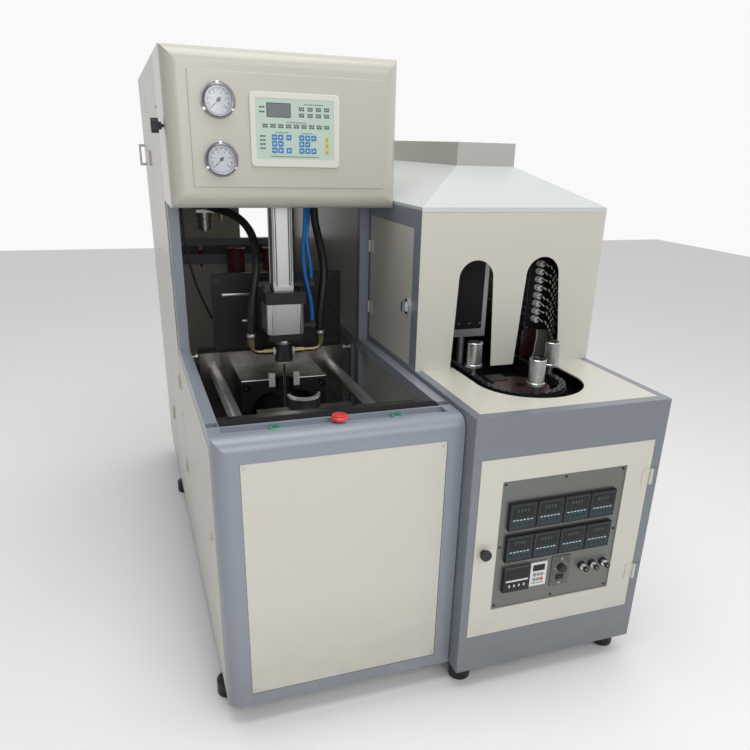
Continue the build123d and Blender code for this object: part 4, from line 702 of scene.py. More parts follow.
class GrowTrees:
    """Geometry trees for the machine's small repeated parts, each built once."""

    @staticmethod
    def tree(grower: Grower) -> bpy.types.NodeTree:
        """Return the tree that one of the methods below fills, filled at its first use."""
        found = bpy.data.node_groups.get(grower.__name__)
        if found:
            return found
        graph = Graph(bpy.data.node_groups.new(grower.__name__, "GeometryNodeTree"))
        grower(graph)
        return graph.tree

    @staticmethod
    def dressed(graph: Graph, part: object, material: object) -> bpy.types.Node:
        """Realize a geometry and give it its material."""
        real = graph.node("GeometryNodeRealizeInstances", part)
        return graph.node("GeometryNodeSetMaterial", real, ins={"Material": material})

    def close(self, graph: Graph, points: object, part: object, turn: object) -> None:
        """End a tree: put the part on every point, realize it and give it its material."""
        material = graph.take("Finish", "NodeSocketMaterial")
        feeds = {"Points": points, "Instance": part, "Rotation": turn}
        placed = graph.node("GeometryNodeInstanceOnPoints", ins=feeds)
        graph.give("Geometry", "NodeSocketGeometry", self.dressed(graph, placed, material))

    @staticmethod
    def turned_spots(graph: Graph) -> bpy.types.Node:
        """Return the rotation that the carrier's facing and across attributes give."""
        axes = [
            graph.node("GeometryNodeInputNamedAttribute", name, data_type="FLOAT_VECTOR")
            for name in ("facing", "across")
        ]
        return graph.node("FunctionNodeAxesToRotation", *axes, primary_axis="Z", secondary_axis="X")

    @staticmethod
    def join(graph: Graph, *parts: object) -> bpy.types.Node:
        """Join several geometries."""
        joined = graph.node("GeometryNodeJoinGeometry")
        for part in parts:
            graph.feed(joined.inputs[0], part)
        return joined

    @staticmethod
    def lifted(graph: Graph, part: object, height: object) -> bpy.types.Node:
        """Move a geometry up by a height."""
        offset = graph.node("ShaderNodeCombineXYZ", 0.0, 0.0, height)
        return graph.node("GeometryNodeTransform", part, ins={"Translation": offset})

    def sheet(self, graph: Graph, size: Sequence[object], thickness: object, count: int) -> bpy.types.Node:
        """Make a thin closed plate.

        Args:
            graph: The tree under construction.
            size: The plate's width, height and corner radius.
            thickness: Its thickness.
            count: How many points each rounded corner has.

        Returns:
            The node that gives the plate.
        """
        sides = {"Width": size[0], "Height": size[1]}
        outline = graph.node("GeometryNodeCurvePrimitiveQuadrilateral", ins=sides)
        corner = {"Curve": outline, "Count": count, "Radius": size[2], "Limit Radius": True}
        rounded = graph.node("GeometryNodeFilletCurve", ins=corner, mode="POLY")
        flat = graph.node("GeometryNodeFillCurve", rounded, mode="NGONS")
        push = {"Mesh": flat, "Offset": UPWARD, "Offset Scale": thickness}
        raised = graph.node("GeometryNodeExtrudeMesh", ins=push, mode="FACES")
        both = self.join(graph, raised, graph.node("GeometryNodeFlipFaces", flat))
        return graph.node("GeometryNodeMergeByDistance", both, ins={"Distance": 1e-6})

    def slotted_screws(self, graph: Graph) -> None:
        """Pan head screws with a slot cut across them."""
        points = graph.take("Geometry", "NodeSocketGeometry")
        radius, height, slot = graph.floats(radius=0.004, height=0.002, slot_width=0.001)
        top = graph.math("MULTIPLY", radius, 0.78)
        cone = {"Radius Top": top, "Radius Bottom": radius, "Depth": height}
        head = graph.node("GeometryNodeMeshCone", 20, 1, 1, ins=cone)
        size = graph.node("ShaderNodeCombineXYZ", graph.math("MULTIPLY", radius, 2.6), slot, height)
        cutter = graph.node("GeometryNodeMeshCube", ins={"Size": size})
        raised = self.lifted(graph, cutter, graph.math("MULTIPLY", height, 1.1))
        meshes = {"Mesh 1": head, "Mesh 2": raised}
        ways = {"operation": "DIFFERENCE", "solver": "EXACT"}
        cut = graph.node("GeometryNodeMeshBoolean", ins=meshes, **ways)
        self.close(graph, points, cut, self.turned_spots(graph))

    def nuts_on_studs(self, graph: Graph) -> None:
        """Six-sided nuts on a washer, with a stud through them."""
        points = graph.take("Geometry", "NodeSocketGeometry")
        radius, height, stud = graph.floats(radius=0.006, height=0.005, stud_height=0.002)
        top = graph.math("MULTIPLY", radius, 0.93)
        cone = {"Radius Top": top, "Radius Bottom": radius, "Depth": height}
        parts = [graph.node("GeometryNodeMeshCone", 6, 1, 1, ins=cone)]
        thin = graph.math("MULTIPLY", height, 0.18)
        tall = graph.math("ADD", height, stud)
        for sides, share, depth in ((24, 1.18, thin), (16, 0.52, tall)):
            round_part = {"Radius": graph.math("MULTIPLY", radius, share), "Depth": depth}
            bar = graph.node("GeometryNodeMeshCylinder", sides, 1, 1, ins=round_part)
            parts.append(self.lifted(graph, bar, graph.math("MULTIPLY", depth, 0.5)))
        self.close(graph, points, self.join(graph, *parts), self.turned_spots(graph))

    def round_cornered_plates(self, graph: Graph) -> None:
        """Thin plates with round corners, for keys, printed bars, lugs and rivet heads."""
        points = graph.take("Geometry", "NodeSocketGeometry")
        *size, thickness = graph.floats(width=0.01, height=0.01, corner=0.001, thickness=0.001)
        self.close(graph, points, self.sheet(graph, size, thickness, 4), self.turned_spots(graph))

    def dial_ticks(self, graph: Graph) -> None:
        """The scale of a round dial, its strokes set round an arc."""
        graph.take("Geometry", "NodeSocketGeometry")
        middle = graph.take("Middle", "NodeSocketVector")
        radius, length, width = graph.floats(radius=0.03, length=0.004, width=0.0008)
        count = graph.take("Count", "NodeSocketInt", 11)
        index = graph.node("GeometryNodeInputIndex")
        step = graph.math("DIVIDE", math.radians(270), graph.math("SUBTRACT", count, 1.0))
        turned_back = graph.math("MULTIPLY", step, -1.0)
        angle = graph.math("MULTIPLY_ADD", index, turned_back, math.radians(225))
        reach = graph.math("SUBTRACT", radius, graph.math("MULTIPLY", length, 0.5))
        across, up = (
            graph.math("MULTIPLY", graph.math(wave, angle), reach) for wave in ("COSINE", "SINE")
        )
        spot = graph.node("ShaderNodeCombineXYZ", across, 0.0, up)
        placed = graph.node("ShaderNodeVectorMath", spot, middle, operation="ADD")
        dots = graph.node("GeometryNodePoints", ins={"Count": count, "Position": placed})
        size = graph.node("ShaderNodeCombineXYZ", length, 0.0002, width)
        stroke = graph.node("GeometryNodeMeshCube", ins={"Size": size})
        lean = graph.node("ShaderNodeCombineXYZ", 0.0, graph.math("MULTIPLY", angle, -1.0), 0.0)
        self.close(graph, dots, stroke, graph.node("FunctionNodeEulerToRotation", lean))

    def roller_chain(self, graph: Graph) -> None:
        """A roller chain along a closed loop: plates, rollers and pin heads."""
        loop = graph.take("Geometry", "NodeSocketGeometry")
        sizes = {"pitch": 0.019, "plate_width": 0.016, "plate_thickness": 0.0015}
        pitch, width, thickness = graph.floats(**sizes)
        feeds = {"Curve": graph.node("GeometryNodeMeshToCurve", loop), "Length": pitch}
        dots = graph.node("GeometryNodeCurveToPoints", ins=feeds, mode="LENGTH")
        length, corner = (graph.math("MULTIPLY", pitch, share) for share in (0.86, 0.4))
        plate = self.sheet(graph, (length, width, corner), thickness, 5)
        head = graph.math("MULTIPLY", width, 0.2)
        pin_size = {"Radius": head, "Depth": graph.math("MULTIPLY", thickness, 3.0)}
        pin = graph.node("GeometryNodeMeshCylinder", 12, 1, 1, ins=pin_size)
        link = self.join(graph, plate, self.lifted(graph, pin, thickness))
        axes = (UPWARD, dots.outputs["Tangent"])
        turn = graph.node("FunctionNodeAxesToRotation", *axes, primary_axis="Z", secondary_axis="X")
        self.close(graph, dots.outputs["Points"], link, turn)

    def twisted_wire(self, graph: Graph) -> None:
        """Two wires twisted about a line."""
        line = graph.take("Geometry", "NodeSocketGeometry")
        wire, lay = graph.floats(wire_radius=0.0015, lay=0.02)
        light, dark = (graph.take(name, "NodeSocketMaterial") for name in ("Finish", "Second Finish"))
        feeds = {"Curve": graph.node("GeometryNodeMeshToCurve", line), "Length": 0.0025}
        even = graph.node("GeometryNodeResampleCurve", ins=feeds, mode="LENGTH")
        run = graph.node("GeometryNodeSplineParameter").outputs["Length"]
        tangent = graph.node("GeometryNodeInputTangent")
        normal = graph.node("GeometryNodeInputNormal")
        side = graph.node("ShaderNodeVectorMath", tangent, normal, operation="CROSS_PRODUCT")
        angle = graph.math("MULTIPLY", graph.math("DIVIDE", run, lay), math.tau)
        section = {"Resolution": 7, "Radius": wire}
        round_wire = graph.node("GeometryNodeCurvePrimitiveCircle", ins=section)
        strands = []
        for start, material in ((0.0, light), (math.pi, dark)):
            phase = graph.math("ADD", angle, start)
            swings = [
                graph.node(
                    "ShaderNodeVectorMath",
                    frame,
                    ins={"Scale": graph.math("MULTIPLY", graph.math(wave, phase), wire)},
                    operation="SCALE",
                )
                for wave, frame in (("COSINE", normal), ("SINE", side))
            ]
            offset = graph.node("ShaderNodeVectorMath", *swings, operation="ADD")
            strand = graph.node("GeometryNodeSetPosition", even, ins={"Offset": offset})
            tube = graph.node("GeometryNodeCurveToMesh", strand, round_wire, ins={"Fill Caps": True})
            strands.append(self.dressed(graph, tube, material))
        graph.give("Geometry", "NodeSocketGeometry", self.join(graph, *strands))


TREES = GrowTrees()


def grow(
    name: str,
    carrier: bpy.types.Mesh,
    grower: Grower,
    sizes: dict[str, object],
    finish: Finish,
    body: Body = Body.MACHINE,
) -> bpy.types.Object:
    """Run a geometry tree on a carrier mesh and keep the result as a plain piece.

    Args:
        name: The piece's name.
        carrier: The mesh whose points or edges the tree reads, in metres.
        grower: The method that fills the tree.
        sizes: The tree's named inputs, lengths in metres.
        finish: What the piece wears.
        body: The body that it rides on.

    Returns:
        The piece.
    """
    helper = linked(name + "_carrier", carrier)
    modifier = helper.modifiers.new("grow", "NODES")
    modifier.node_group = TREES.tree(grower)
    values = {**sizes, "Finish": finish.material()}
    for socket in modifier.node_group.interface.items_tree:
        if socket.item_type == "SOCKET" and socket.in_out == "INPUT" and socket.name in values:
            modifier[socket.identifier] = values[socket.name]
    bpy.context.view_layer.update()
    evaluated = helper.evaluated_get(bpy.context.evaluated_depsgraph_get())
    mesh = bpy.data.meshes.new_from_object(evaluated)
    mesh.name = name
    discard(helper)
    return settle(name, mesh, finish, body)


def spotted(name: str, spots: Sequence[Spot]) -> bpy.types.Mesh:
    """Make the carrier mesh of a list of spots, with their directions as attributes."""
    mesh = bpy.data.meshes.new(name + "_spots")
    mesh.from_pydata([place(*spot.at) for spot in spots], [], [])
    for key in ("facing", "across"):
        attribute = mesh.attributes.new(key, "FLOAT_VECTOR", "POINT")
        for item, spot in zip(attribute.data, spots):
            item.vector = getattr(spot, key)
    return mesh


def threaded(name: str, points: Sequence[Point], closed: bool = False) -> bpy.types.Mesh:
    """Make the carrier mesh of a line through points."""
    mesh = bpy.data.meshes.new(name + "_line")
    edges = [(k, k + 1) for k in range(len(points) - 1)]
    if closed:
        edges.append((len(points) - 1, 0))
    mesh.from_pydata([place(*point) for point in points], edges, [])
    return mesh


def screws(
    name: str,
    spots: Sequence[Spot],
    radius: float,
    height: float,
    finish: Finish,
    body: Body = Body.MACHINE,
) -> bpy.types.Object:
    """Set slotted screws at the spots, sizes in millimetres."""
    sizes = {"Radius": radius * MM, "Height": height * MM, "Slot Width": radius * 0.3 * MM}
    carrier = spotted(name, spots)
    return grow(name, carrier, TREES.slotted_screws, sizes, finish, body)


def nuts(
    name: str,
    spots: Sequence[Spot],
    size: tuple[float, float, float],
    finish: Finish,
    body: Body = Body.MACHINE,
) -> bpy.types.Object:
    """Set nuts at the spots; size is radius, height and the stud's rise, in millimetres."""
    sizes = {key: value * MM for key, value in zip(("Radius", "Height", "Stud Height"), size)}
    carrier = spotted(name, spots)
    return grow(name, carrier, TREES.nuts_on_studs, sizes, finish, body)


def plates(
    name: str,
    spots: Sequence[Spot],
    size: tuple[float, float, float, float],
    finish: Finish,
    body: Body = Body.MACHINE,
) -> bpy.types.Object:
    """Set plates at the spots; size is width, height, corner and thickness, in millimetres."""
    sizes = {key: value * MM for key, value in zip(("Width", "Height", "Corner", "Thickness"), size)}
    carrier = spotted(name, spots)
    return grow(name, carrier, TREES.round_cornered_plates, sizes, finish, body)


@dataclass
class Studio:
    """Camera at the photograph's angle, soft lights and a pale floor, its size in metres."""

    focal_px: float = 710.33
    frame_px: float = 750.0
    centre_px: tuple[float, float] = (387.96, 443.72)
    yaw: float = math.radians(20.48)
    pitch: float = math.radians(-22.88)
    roll: float = math.radians(1.77)
    stand: Point = (-130.8, -1426.2, 1385.3)
    floor_size: float = 16.0
    dim_sky: float = 0.18
    bright_sky: float = 0.95
    film: float = 36.0

    def make_camera(self) -> None:
        """Place the camera where the photographer stood."""
        data = bpy.data.cameras.new("camera")
        data.sensor_width = self.film
        data.lens = self.film * self.focal_px / self.frame_px
        data.shift_x = (self.frame_px / 2 - self.centre_px[0]) / self.frame_px
        data.shift_y = (self.centre_px[1] - self.frame_px / 2) / self.frame_px
        data.clip_start, data.clip_end = 0.05, 50.0
        camera = linked("camera", data)
        reach = math.cos(self.pitch)
        ahead = (math.sin(self.yaw) * reach, math.cos(self.yaw) * reach, math.sin(self.pitch))
        forward = Vector(ahead)
        level = Vector((math.cos(self.yaw), -math.sin(self.yaw), 0.0))
        upright = level.cross(forward)
        across = level * math.cos(self.roll) + upright * math.sin(self.roll)
        above = upright * math.cos(self.roll) - level * math.sin(self.roll)
        turn = Matrix((across, above, -forward)).transposed()
        camera.matrix_world = Matrix.Translation(place(*self.stand)) @ turn.to_4x4()
        bpy.context.scene.camera = camera

    def light(self, name: str, at: Point, aim: Point, size: float, power: float) -> None:
        """Hang a soft square light.

        Args:
            name: The light's name.
            at: Where it hangs, in metres.
            aim: What it points at, in metres.
            size: Its side in metres.
            power: Its power in watts.
        """
        data = bpy.data.lights.new(name, "AREA")
        data.size = size
        data.energy = power
        lamp = linked(name, data)
        lamp.location = at
        lamp.rotation_euler = (Vector(aim) - Vector(at)).to_track_quat("-Z", "Y").to_euler()

    def dress(self) -> None:
        """Add the floor, the sky light and the lamps."""
        bpy.context.scene.view_settings.view_transform = "Standard"
        world = bpy.data.worlds.new("studio_sky")
        world.use_nodes = True
        graph = Graph(world.node_tree)
        way = graph.node("ShaderNodeTexCoord").outputs["Generated"]
        side = graph.node("ShaderNodeSeparateXYZ", way)
        open_side = graph.math("ADD", side.outputs["X"], side.outputs["Y"])
        share = graph.node("ShaderNodeMapRange", open_side, -0.9, 0.7, self.dim_sky, self.bright_sky)
        sky = world.node_tree.nodes["Background"]
        graph.feed(sky.inputs["Color"], (1.0, 1.0, 1.0, 1.0))
        graph.feed(sky.inputs["Strength"], share)
        bpy.context.scene.world = world
        self.light("key_light", (0.9, -4.2, 2.9), (0.0, -0.2, 0.7), 2.2, 30.0)
        self.light("front_light", (-0.7, -3.2, 2.1), (-0.3, 0.2, 0.8), 1.4, 14.0)
        self.light("low_light", (-0.45, -3.0, 1.3), (-0.27, 0.5, 1.0), 0.9, 4.0)
        self.light("top_light", (-0.3, -0.9, 4.0), (0.0, -0.1, 0.8), 2.2, 46.0)
        half = self.floor_size / 2
        mesh = bpy.data.meshes.new("floor")
        corners = [(-half, -half, 0.0), (half, -half, 0.0), (half, half, 0.0), (-half, half, 0.0)]
        mesh.from_pydata(corners, [], [(0, 1, 2, 3)])
        mesh.materials.append(FLOOR.material())
        floor = linked("floor", mesh)


@dataclass(frozen=True)
class Route:
    """A line's route: its CAD node, points and thickness in millimetres, real length in metres."""

    node: str
    diameter: float
    length: float
    finish: Finish
    points: tuple[Point, ...]
    lower_body: Body = Body.MACHINE


@dataclass(frozen=True)
class FlexibleLines:
    """The two rubber hoses, the two blue air tubes and the thin cable at the left."""

    clamp_height: float = 11.0
    still_height: float = 1150.0
    carried_length: float = 62.0
    routes: tuple[Route, ...] = (
        Route(
            "hose_left", 24.0, 0.638, RUBBER,
            (
                (204, 665, 838), (204, 665, 888), (210, 667, 940), (221, 674, 992), (232, 691, 1042),
                (238, 720, 1088), (236, 762, 1126), (223, 810, 1154), (200, 858, 1173), (172, 904, 1183),
                (149, 952, 1186), (137, 1002, 1186), (137, 1048, 1186),
            ),
            Body.NOZZLE,
        ),
        Route(
            "hose_right", 24.0, 0.398, RUBBER,
            (
                (415, 665, 838), (415, 665, 886), (421, 667, 938), (430, 675, 990), (436, 692, 1041),
                (434, 718, 1090), (427, 743, 1140), (422, 752, 1180), (422, 752, 1218),
            ),
            Body.NOZZLE,
        ),
        Route(
            "air_tube_front", 12.0, 0.337, BLUE_TUBE,
            (
                (391, 665, 884), (391, 665, 924), (382, 662, 968), (371, 661, 1014), (366, 663, 1062),
                (367, 667, 1112), (376, 672, 1160), (376, 672, 1218),
            ),
        ),
        Route(
            "air_tube_rear", 12.0, 0.216, BLUE_TUBE,
            (
                (393, 680, 1006), (393, 680, 1044), (386, 690, 1086), (385, 700, 1130), (394, 708, 1172),
                (394, 708, 1218),
            ),
        ),
        Route(
            "sensor_cable", 7.0, 0.374, RUBBER,
            (
                (115, 876, 855), (100, 873, 892), (82, 868, 938), (67, 864, 988), (56, 863, 1040),
                (49, 865, 1094), (46, 870, 1148), (46, 870, 1218),
            ),
        ),
    )

    def build(self) -> None:
        for route in self.routes:
            self.lay(route)

    def lay(self, route: Route) -> None:
        """Make one line a tube, hang it between its two ends and log its length."""
        line = smooth_line(route.node + "_line", route.points)
        path = [vertex.co.copy() for vertex in bpy.data.meshes.new_from_object(line).vertices]
        discard(line)
        solid = smooth_line(route.node + "_solid", route.points, route.diameter / 2)
        mesh = bpy.data.meshes.new_from_object(solid)
        discard(solid)
        mesh.name = route.node + "_tube"
        mesh.materials.clear()
        clamps: list[bpy.types.Object] = []
        if route.lower_body is Body.MACHINE:
            tube = settle(mesh.name, mesh, route.finish)
        else:
            mesh.materials.append(route.finish.material())
            mesh.polygons.foreach_set("use_smooth", [True] * len(mesh.polygons))
            tube = linked(mesh.name, mesh)
            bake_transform(tube)
            clamps = [self.clamp(route)]
        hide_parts(route.node)
        LOG.info("%s: laid over %.3f m", route.node, route.length)

    def clamp(self, route: Route) -> bpy.types.Object:
        """Put the band clamp round a hose's lower end, with its screw housing in front."""
        x, y, z = route.points[0]
        radius = route.diameter / 2
        band = Shape().ring((x, y, z + 3), UPWARD, radius + 1.2, radius - 0.3, self.clamp_height)
        band.block((x - 5, y - radius - 6, z + 4), (x + 5, y - radius + 0.4, z + 13), 0.8)
        band.rod((x - 9, y - radius - 3, z + 8.5), (x - 4.6, y - radius - 3, z + 8.5), 2.6)
        return band.piece(route.node + "_clamp", ZINC, Body.NOZZLE)


@dataclass(frozen=True)
class LampRow:
    """Where the heating lamps stand, one above another."""

    x: float = 1045.0
    low: float = 900.0
    pitch: float = 24.0
    count: int = 8

    def heights(self) -> list[float]:
        """Return every lamp's height."""
        return [self.low + k * self.pitch for k in range(self.count)]


@dataclass(frozen=True)
class LampWires:
    """The twisted wires from the lamps' front caps to the loom at the right."""

    row: LampRow = LampRow()

    def build(self) -> None:
        """Lead a twisted wire from every lamp cap to the loom."""
        x = self.row.x
        for k, z in enumerate(self.row.heights()):
            bow = 6.0 * math.sin(1.7 * k)
            route = [
                (x, 446, z),
                (x + 2, 438, z + 1),
                (x + 16, 430, z - 2 + bow),
                (x + 31, 431, z - 16),
                (x + 42, 433, z - 38 + bow),
                (x + 53, 437, z - 56),
                (x + 66, 446, z - 66),
            ]
            self.wire(k + 1, route)

    def wire(self, number: int, route: Sequence[Point]) -> None:
        line = smooth_line("wire_line", route)
        mesh = bpy.data.meshes.new_from_object(line)
        discard(line)
        sizes = {"Wire Radius": 2.1 * MM, "Lay": 15.0 * MM, "Second Finish": DARK_SLEEVE.material()}
        name = f"lamp_wire_{number}"
        wire = grow(name, mesh, TREES.twisted_wire, sizes, SLEEVE)


@dataclass(frozen=True)
class Housing:
    """The sheet covers' fasteners, the strips and bolts of the frame, and the buttons' rings."""

    boss_top: float = 787.9
    sunk_left: float = -4.0
    sunk_rear: float = 1860.2
    sunk_right: float = 1162.2

    def build(self) -> None:
        """Add the screws, strips and bolts that the sheet metal shows."""
        spots = [Spot((x, 1.0, z)) for x, z in ((68, 720), (546, 720), (68, 107), (546, 107))]
        screws("front_panel_screws", spots, 4.2, 1.6, ZINC)
        self.lip()
        self.jack_bolts()
        self.cover_fasteners()
        self.gap_sheet()
        self.buttons()
        self.feet_nuts()

    def lip(self) -> None:
        """Lay the black strip on the cross rail behind the button channel."""
        strip = Shape().block((30.5, 90.5, 789.9), (569.5, 121.5, 792.2), 0.8)
        strip.block((30.5, 119.0, 762.0), (569.5, 121.5, 792.2), 0.8)
        strip.piece("front_lip_strip", STRIP_RUBBER)

    def jack_bolts(self) -> None:
        """Set the bolts that hold the rear plate between the posts."""
        bolts = Shape()
        parts = ((0.0, 32.0, 4.2), (1.0, 8.0, 9.0, 0.8, 6), (21.0, 30.0, 9.0, 0.8, 6))
        for wall, side in ((30.0, 1.0), (570.0, -1.0)):
            for near, far, *shape in parts:
                ends = ((wall + side * reach, 850.0, 740.0) for reach in (near, far))
                bolts.rod(*ends, *shape)
        bolts.piece("rear_plate_jack_bolts", ZINC, slot="machined_steel")

    def cover_fasteners(self) -> None:
        """Screw the rear, right and left sheets to the frame."""
        places = [(x, z) for x in (15, 300, 585) for z in (105, 490, 885)]
        places += [(x, z) for x in (15, 352) for z in (980, 1280, 1574)]
        rear = [Spot((x, self.sunk_rear, z), BACKWARD, LEFTWARD) for x, z in places]
        screws("rear_cover_screws", rear, 4.5, 1.8, ZINC)
        places = [(y, z) for y in (822, 1340) for z in (110, 560, 1010, 1460)]
        left = [Spot((self.sunk_left, y, z), LEFTWARD, FORWARD) for y, z in places]
        screws("left_cover_screws", left, 4.5, 1.8, ZINC)
        places = [(y, z) for y in (352, 868, 1385) for z in (816, 1216)]
        right = [Spot((self.sunk_right, y, z), RIGHTWARD, BACKWARD) for y, z in places]
        screws("right_cover_screws", right, 4.5, 1.8, ZINC)

    def gap_sheet(self) -> None:
        """Close the slot between the two rear beams with its grey strip."""
        strip = Shape().block((2.0, 1860.1, 897.3), (598.0, 1861.9, 965.7), 0.4)
        strip.piece("rear_beam_strip", REAR_GREY)

    def buttons(self) -> None:
        """Finish the stop button with its rings and the start buttons with their collars."""
        top = (BLOWER_MIDDLE, 54, 805.4)
        stop = Shape().ring(top, UPWARD, 16.5, 13.6, 0.9, 0.3)
        stop.ring(top, UPWARD, 8.2, 6.4, 0.7, 0.2)
        stop.piece("stop_button_rings", STOP_RING, Body.STOP)
        starts = ((153.0, Body.START_LEFT, "left"), (447.0, Body.START_RIGHT, "right"))
        collars = Shape().ring((BLOWER_MIDDLE, 54, CHANNEL_FLOOR), UPWARD, 23.5, 12.0, 2.2, 0.6)
        for x, _, _ in starts:
            collars.ring((x, 63, CHANNEL_FLOOR), UPWARD, 15.5, 13.6, 1.8, 0.5)
        collars.piece("button_collars", BLACK_PLASTIC)
        profile = [(0, 0), (10.6, 0), (10.2, 0.7), (0, 0.7)]
        for x, body, name in starts:
            boss = Shape().turned((x, 63, self.boss_top), UPWARD, profile)
            boss.piece(f"start_button_boss_{name}", START_BOSS, body)

    def feet_nuts(self) -> None:
        """Set a lock nut on every frame foot."""
        places = [(14, 140), (586, 140), (14, 1410), (586, 1410)]
        places += [(642, 9), (1122, 9), (642, 1339), (1122, 1339)]
        spots = [Spot((x, y, 47.9), UPWARD) for x, y in places]
        nuts("feet_lock_nuts", spots, (11.0, 8.0, 3.0), ZINC)


@dataclass(frozen=True)
class PressureGauges:
    """The two dials at the head's left."""

    x: float = 127.0
    heights: tuple[float, float] = (1472.0, 1338.0)
    scale_face: float = 513.55
    dial_radius: float = 31.9
    rim_front: float = 509.0
    clip_circle: float = 38.6
    number_circle: float = 18.4
    stroke_circle: float = 28.5

    def build(self) -> None:
        """Dress both gauges: dial, scale, bezel, clips and glass."""
        dials, glass, bezels, hubs = Shape(), Shape(), Shape(), Shape()
        clips: list[Spot] = []
        disc = [(0, 0), (self.dial_radius, 0), (self.dial_radius, 0.25), (0, 0.25)]
        rim = [(32.4, 0), (36.6, 0), (37.2, 0.9), (36.8, 2.4), (35.2, 3.3), (33.4, 2.9), (32.2, 1.4)]
        lip = [(40.6, 0), (42.3, 0), (42.1, 0.9), (40.9, 1.1)]
        pane = [(0, 0), (32.0, 0), (32.0, 1.1), (0, 1.4)]
        boss = [(0, 0), (4.6, 0), (4.4, 0.7), (2.0, 1.0), (0, 1.0)]
        for z, kind in zip(self.heights, ("upper", "lower")):
            for shape, y, profile, sides in (
                (dials, 513.95, disc, 64),
                (bezels, self.rim_front + 2.2, rim, 64),
                (bezels, 520.1, lip, 64),
                (glass, 511.0, pane, 64),
                (hubs, 512.6, boss, 36),
            ):
                shape.turned((self.x, y, z), FORWARD, profile, sides)
            for turn in (90, 210, 330):
                angle = math.radians(turn)
                spot = around((self.x, 519.6, z), self.clip_circle, angle)
                clips.append(Spot(spot, FORWARD, around(ORIGIN, 1.0, angle)))
            self.scale(z, kind)
        dials.piece("gauge_dials", DIAL)
        bezels.piece("gauge_bezels", RING_METAL)
        glass.piece("gauge_glasses", CLEAR)
        hubs.piece("gauge_hubs", BLACK_PLASTIC)
        plates("gauge_clips", clips, (8.0, 5.6, 2.2, 1.8), CHROME)

    def scale(self, z: float, kind: str) -> None:
        """Draw the strokes of one dial, long at the tens and short between."""
        blank = threaded("scale", [(0, 0, 0), (1, 0, 0)])
        for label, count, length, width in (("long", 11, 7.0, 1.3), ("short", 51, 3.6, 0.7)):
            sizes = {
                "Middle": place(self.x, self.scale_face, z),
                "Radius": self.stroke_circle * MM,
                "Count": count,
                "Length": length * MM,
                "Width": width * MM,
            }
            grow(f"{kind}_dial_{label}_strokes", blank.copy(), TREES.dial_ticks, sizes, DIAL_PRINT)
        self.numbers(z, kind)

    def numbers(self, z: float, kind: str) -> None:
        """Print plain numbers round one dial."""
        joined = bmesh.new()
        for step in range(0, 11, 2):
            angle = math.radians(225 - 27 * step)
            text = bpy.data.curves.new("number", "FONT")
            text.body = str(step)
            text.size = 6.2
            text.align_x, text.align_y = "CENTER", "CENTER"
            text.extrude = 0.08
            helper = linked("number", text)
            mesh = bpy.data.meshes.new_from_object(helper)
            spot = Vector(around((self.x, self.scale_face, z), self.number_circle, angle))
            mesh.transform(Matrix.Translation(spot) @ Matrix.Rotation(math.pi / 2, 4, "X"))
            joined.from_mesh(mesh)
            bpy.data.meshes.remove(mesh)
            discard(helper)
        bmesh.ops.transform(joined, matrix=TO_ROW, verts=joined.verts)
        mesh = bpy.data.meshes.new(f"{kind}_dial_numbers")
        joined.to_mesh(mesh)
        joined.free()
        settle(mesh.name, mesh, DIAL_PRINT)


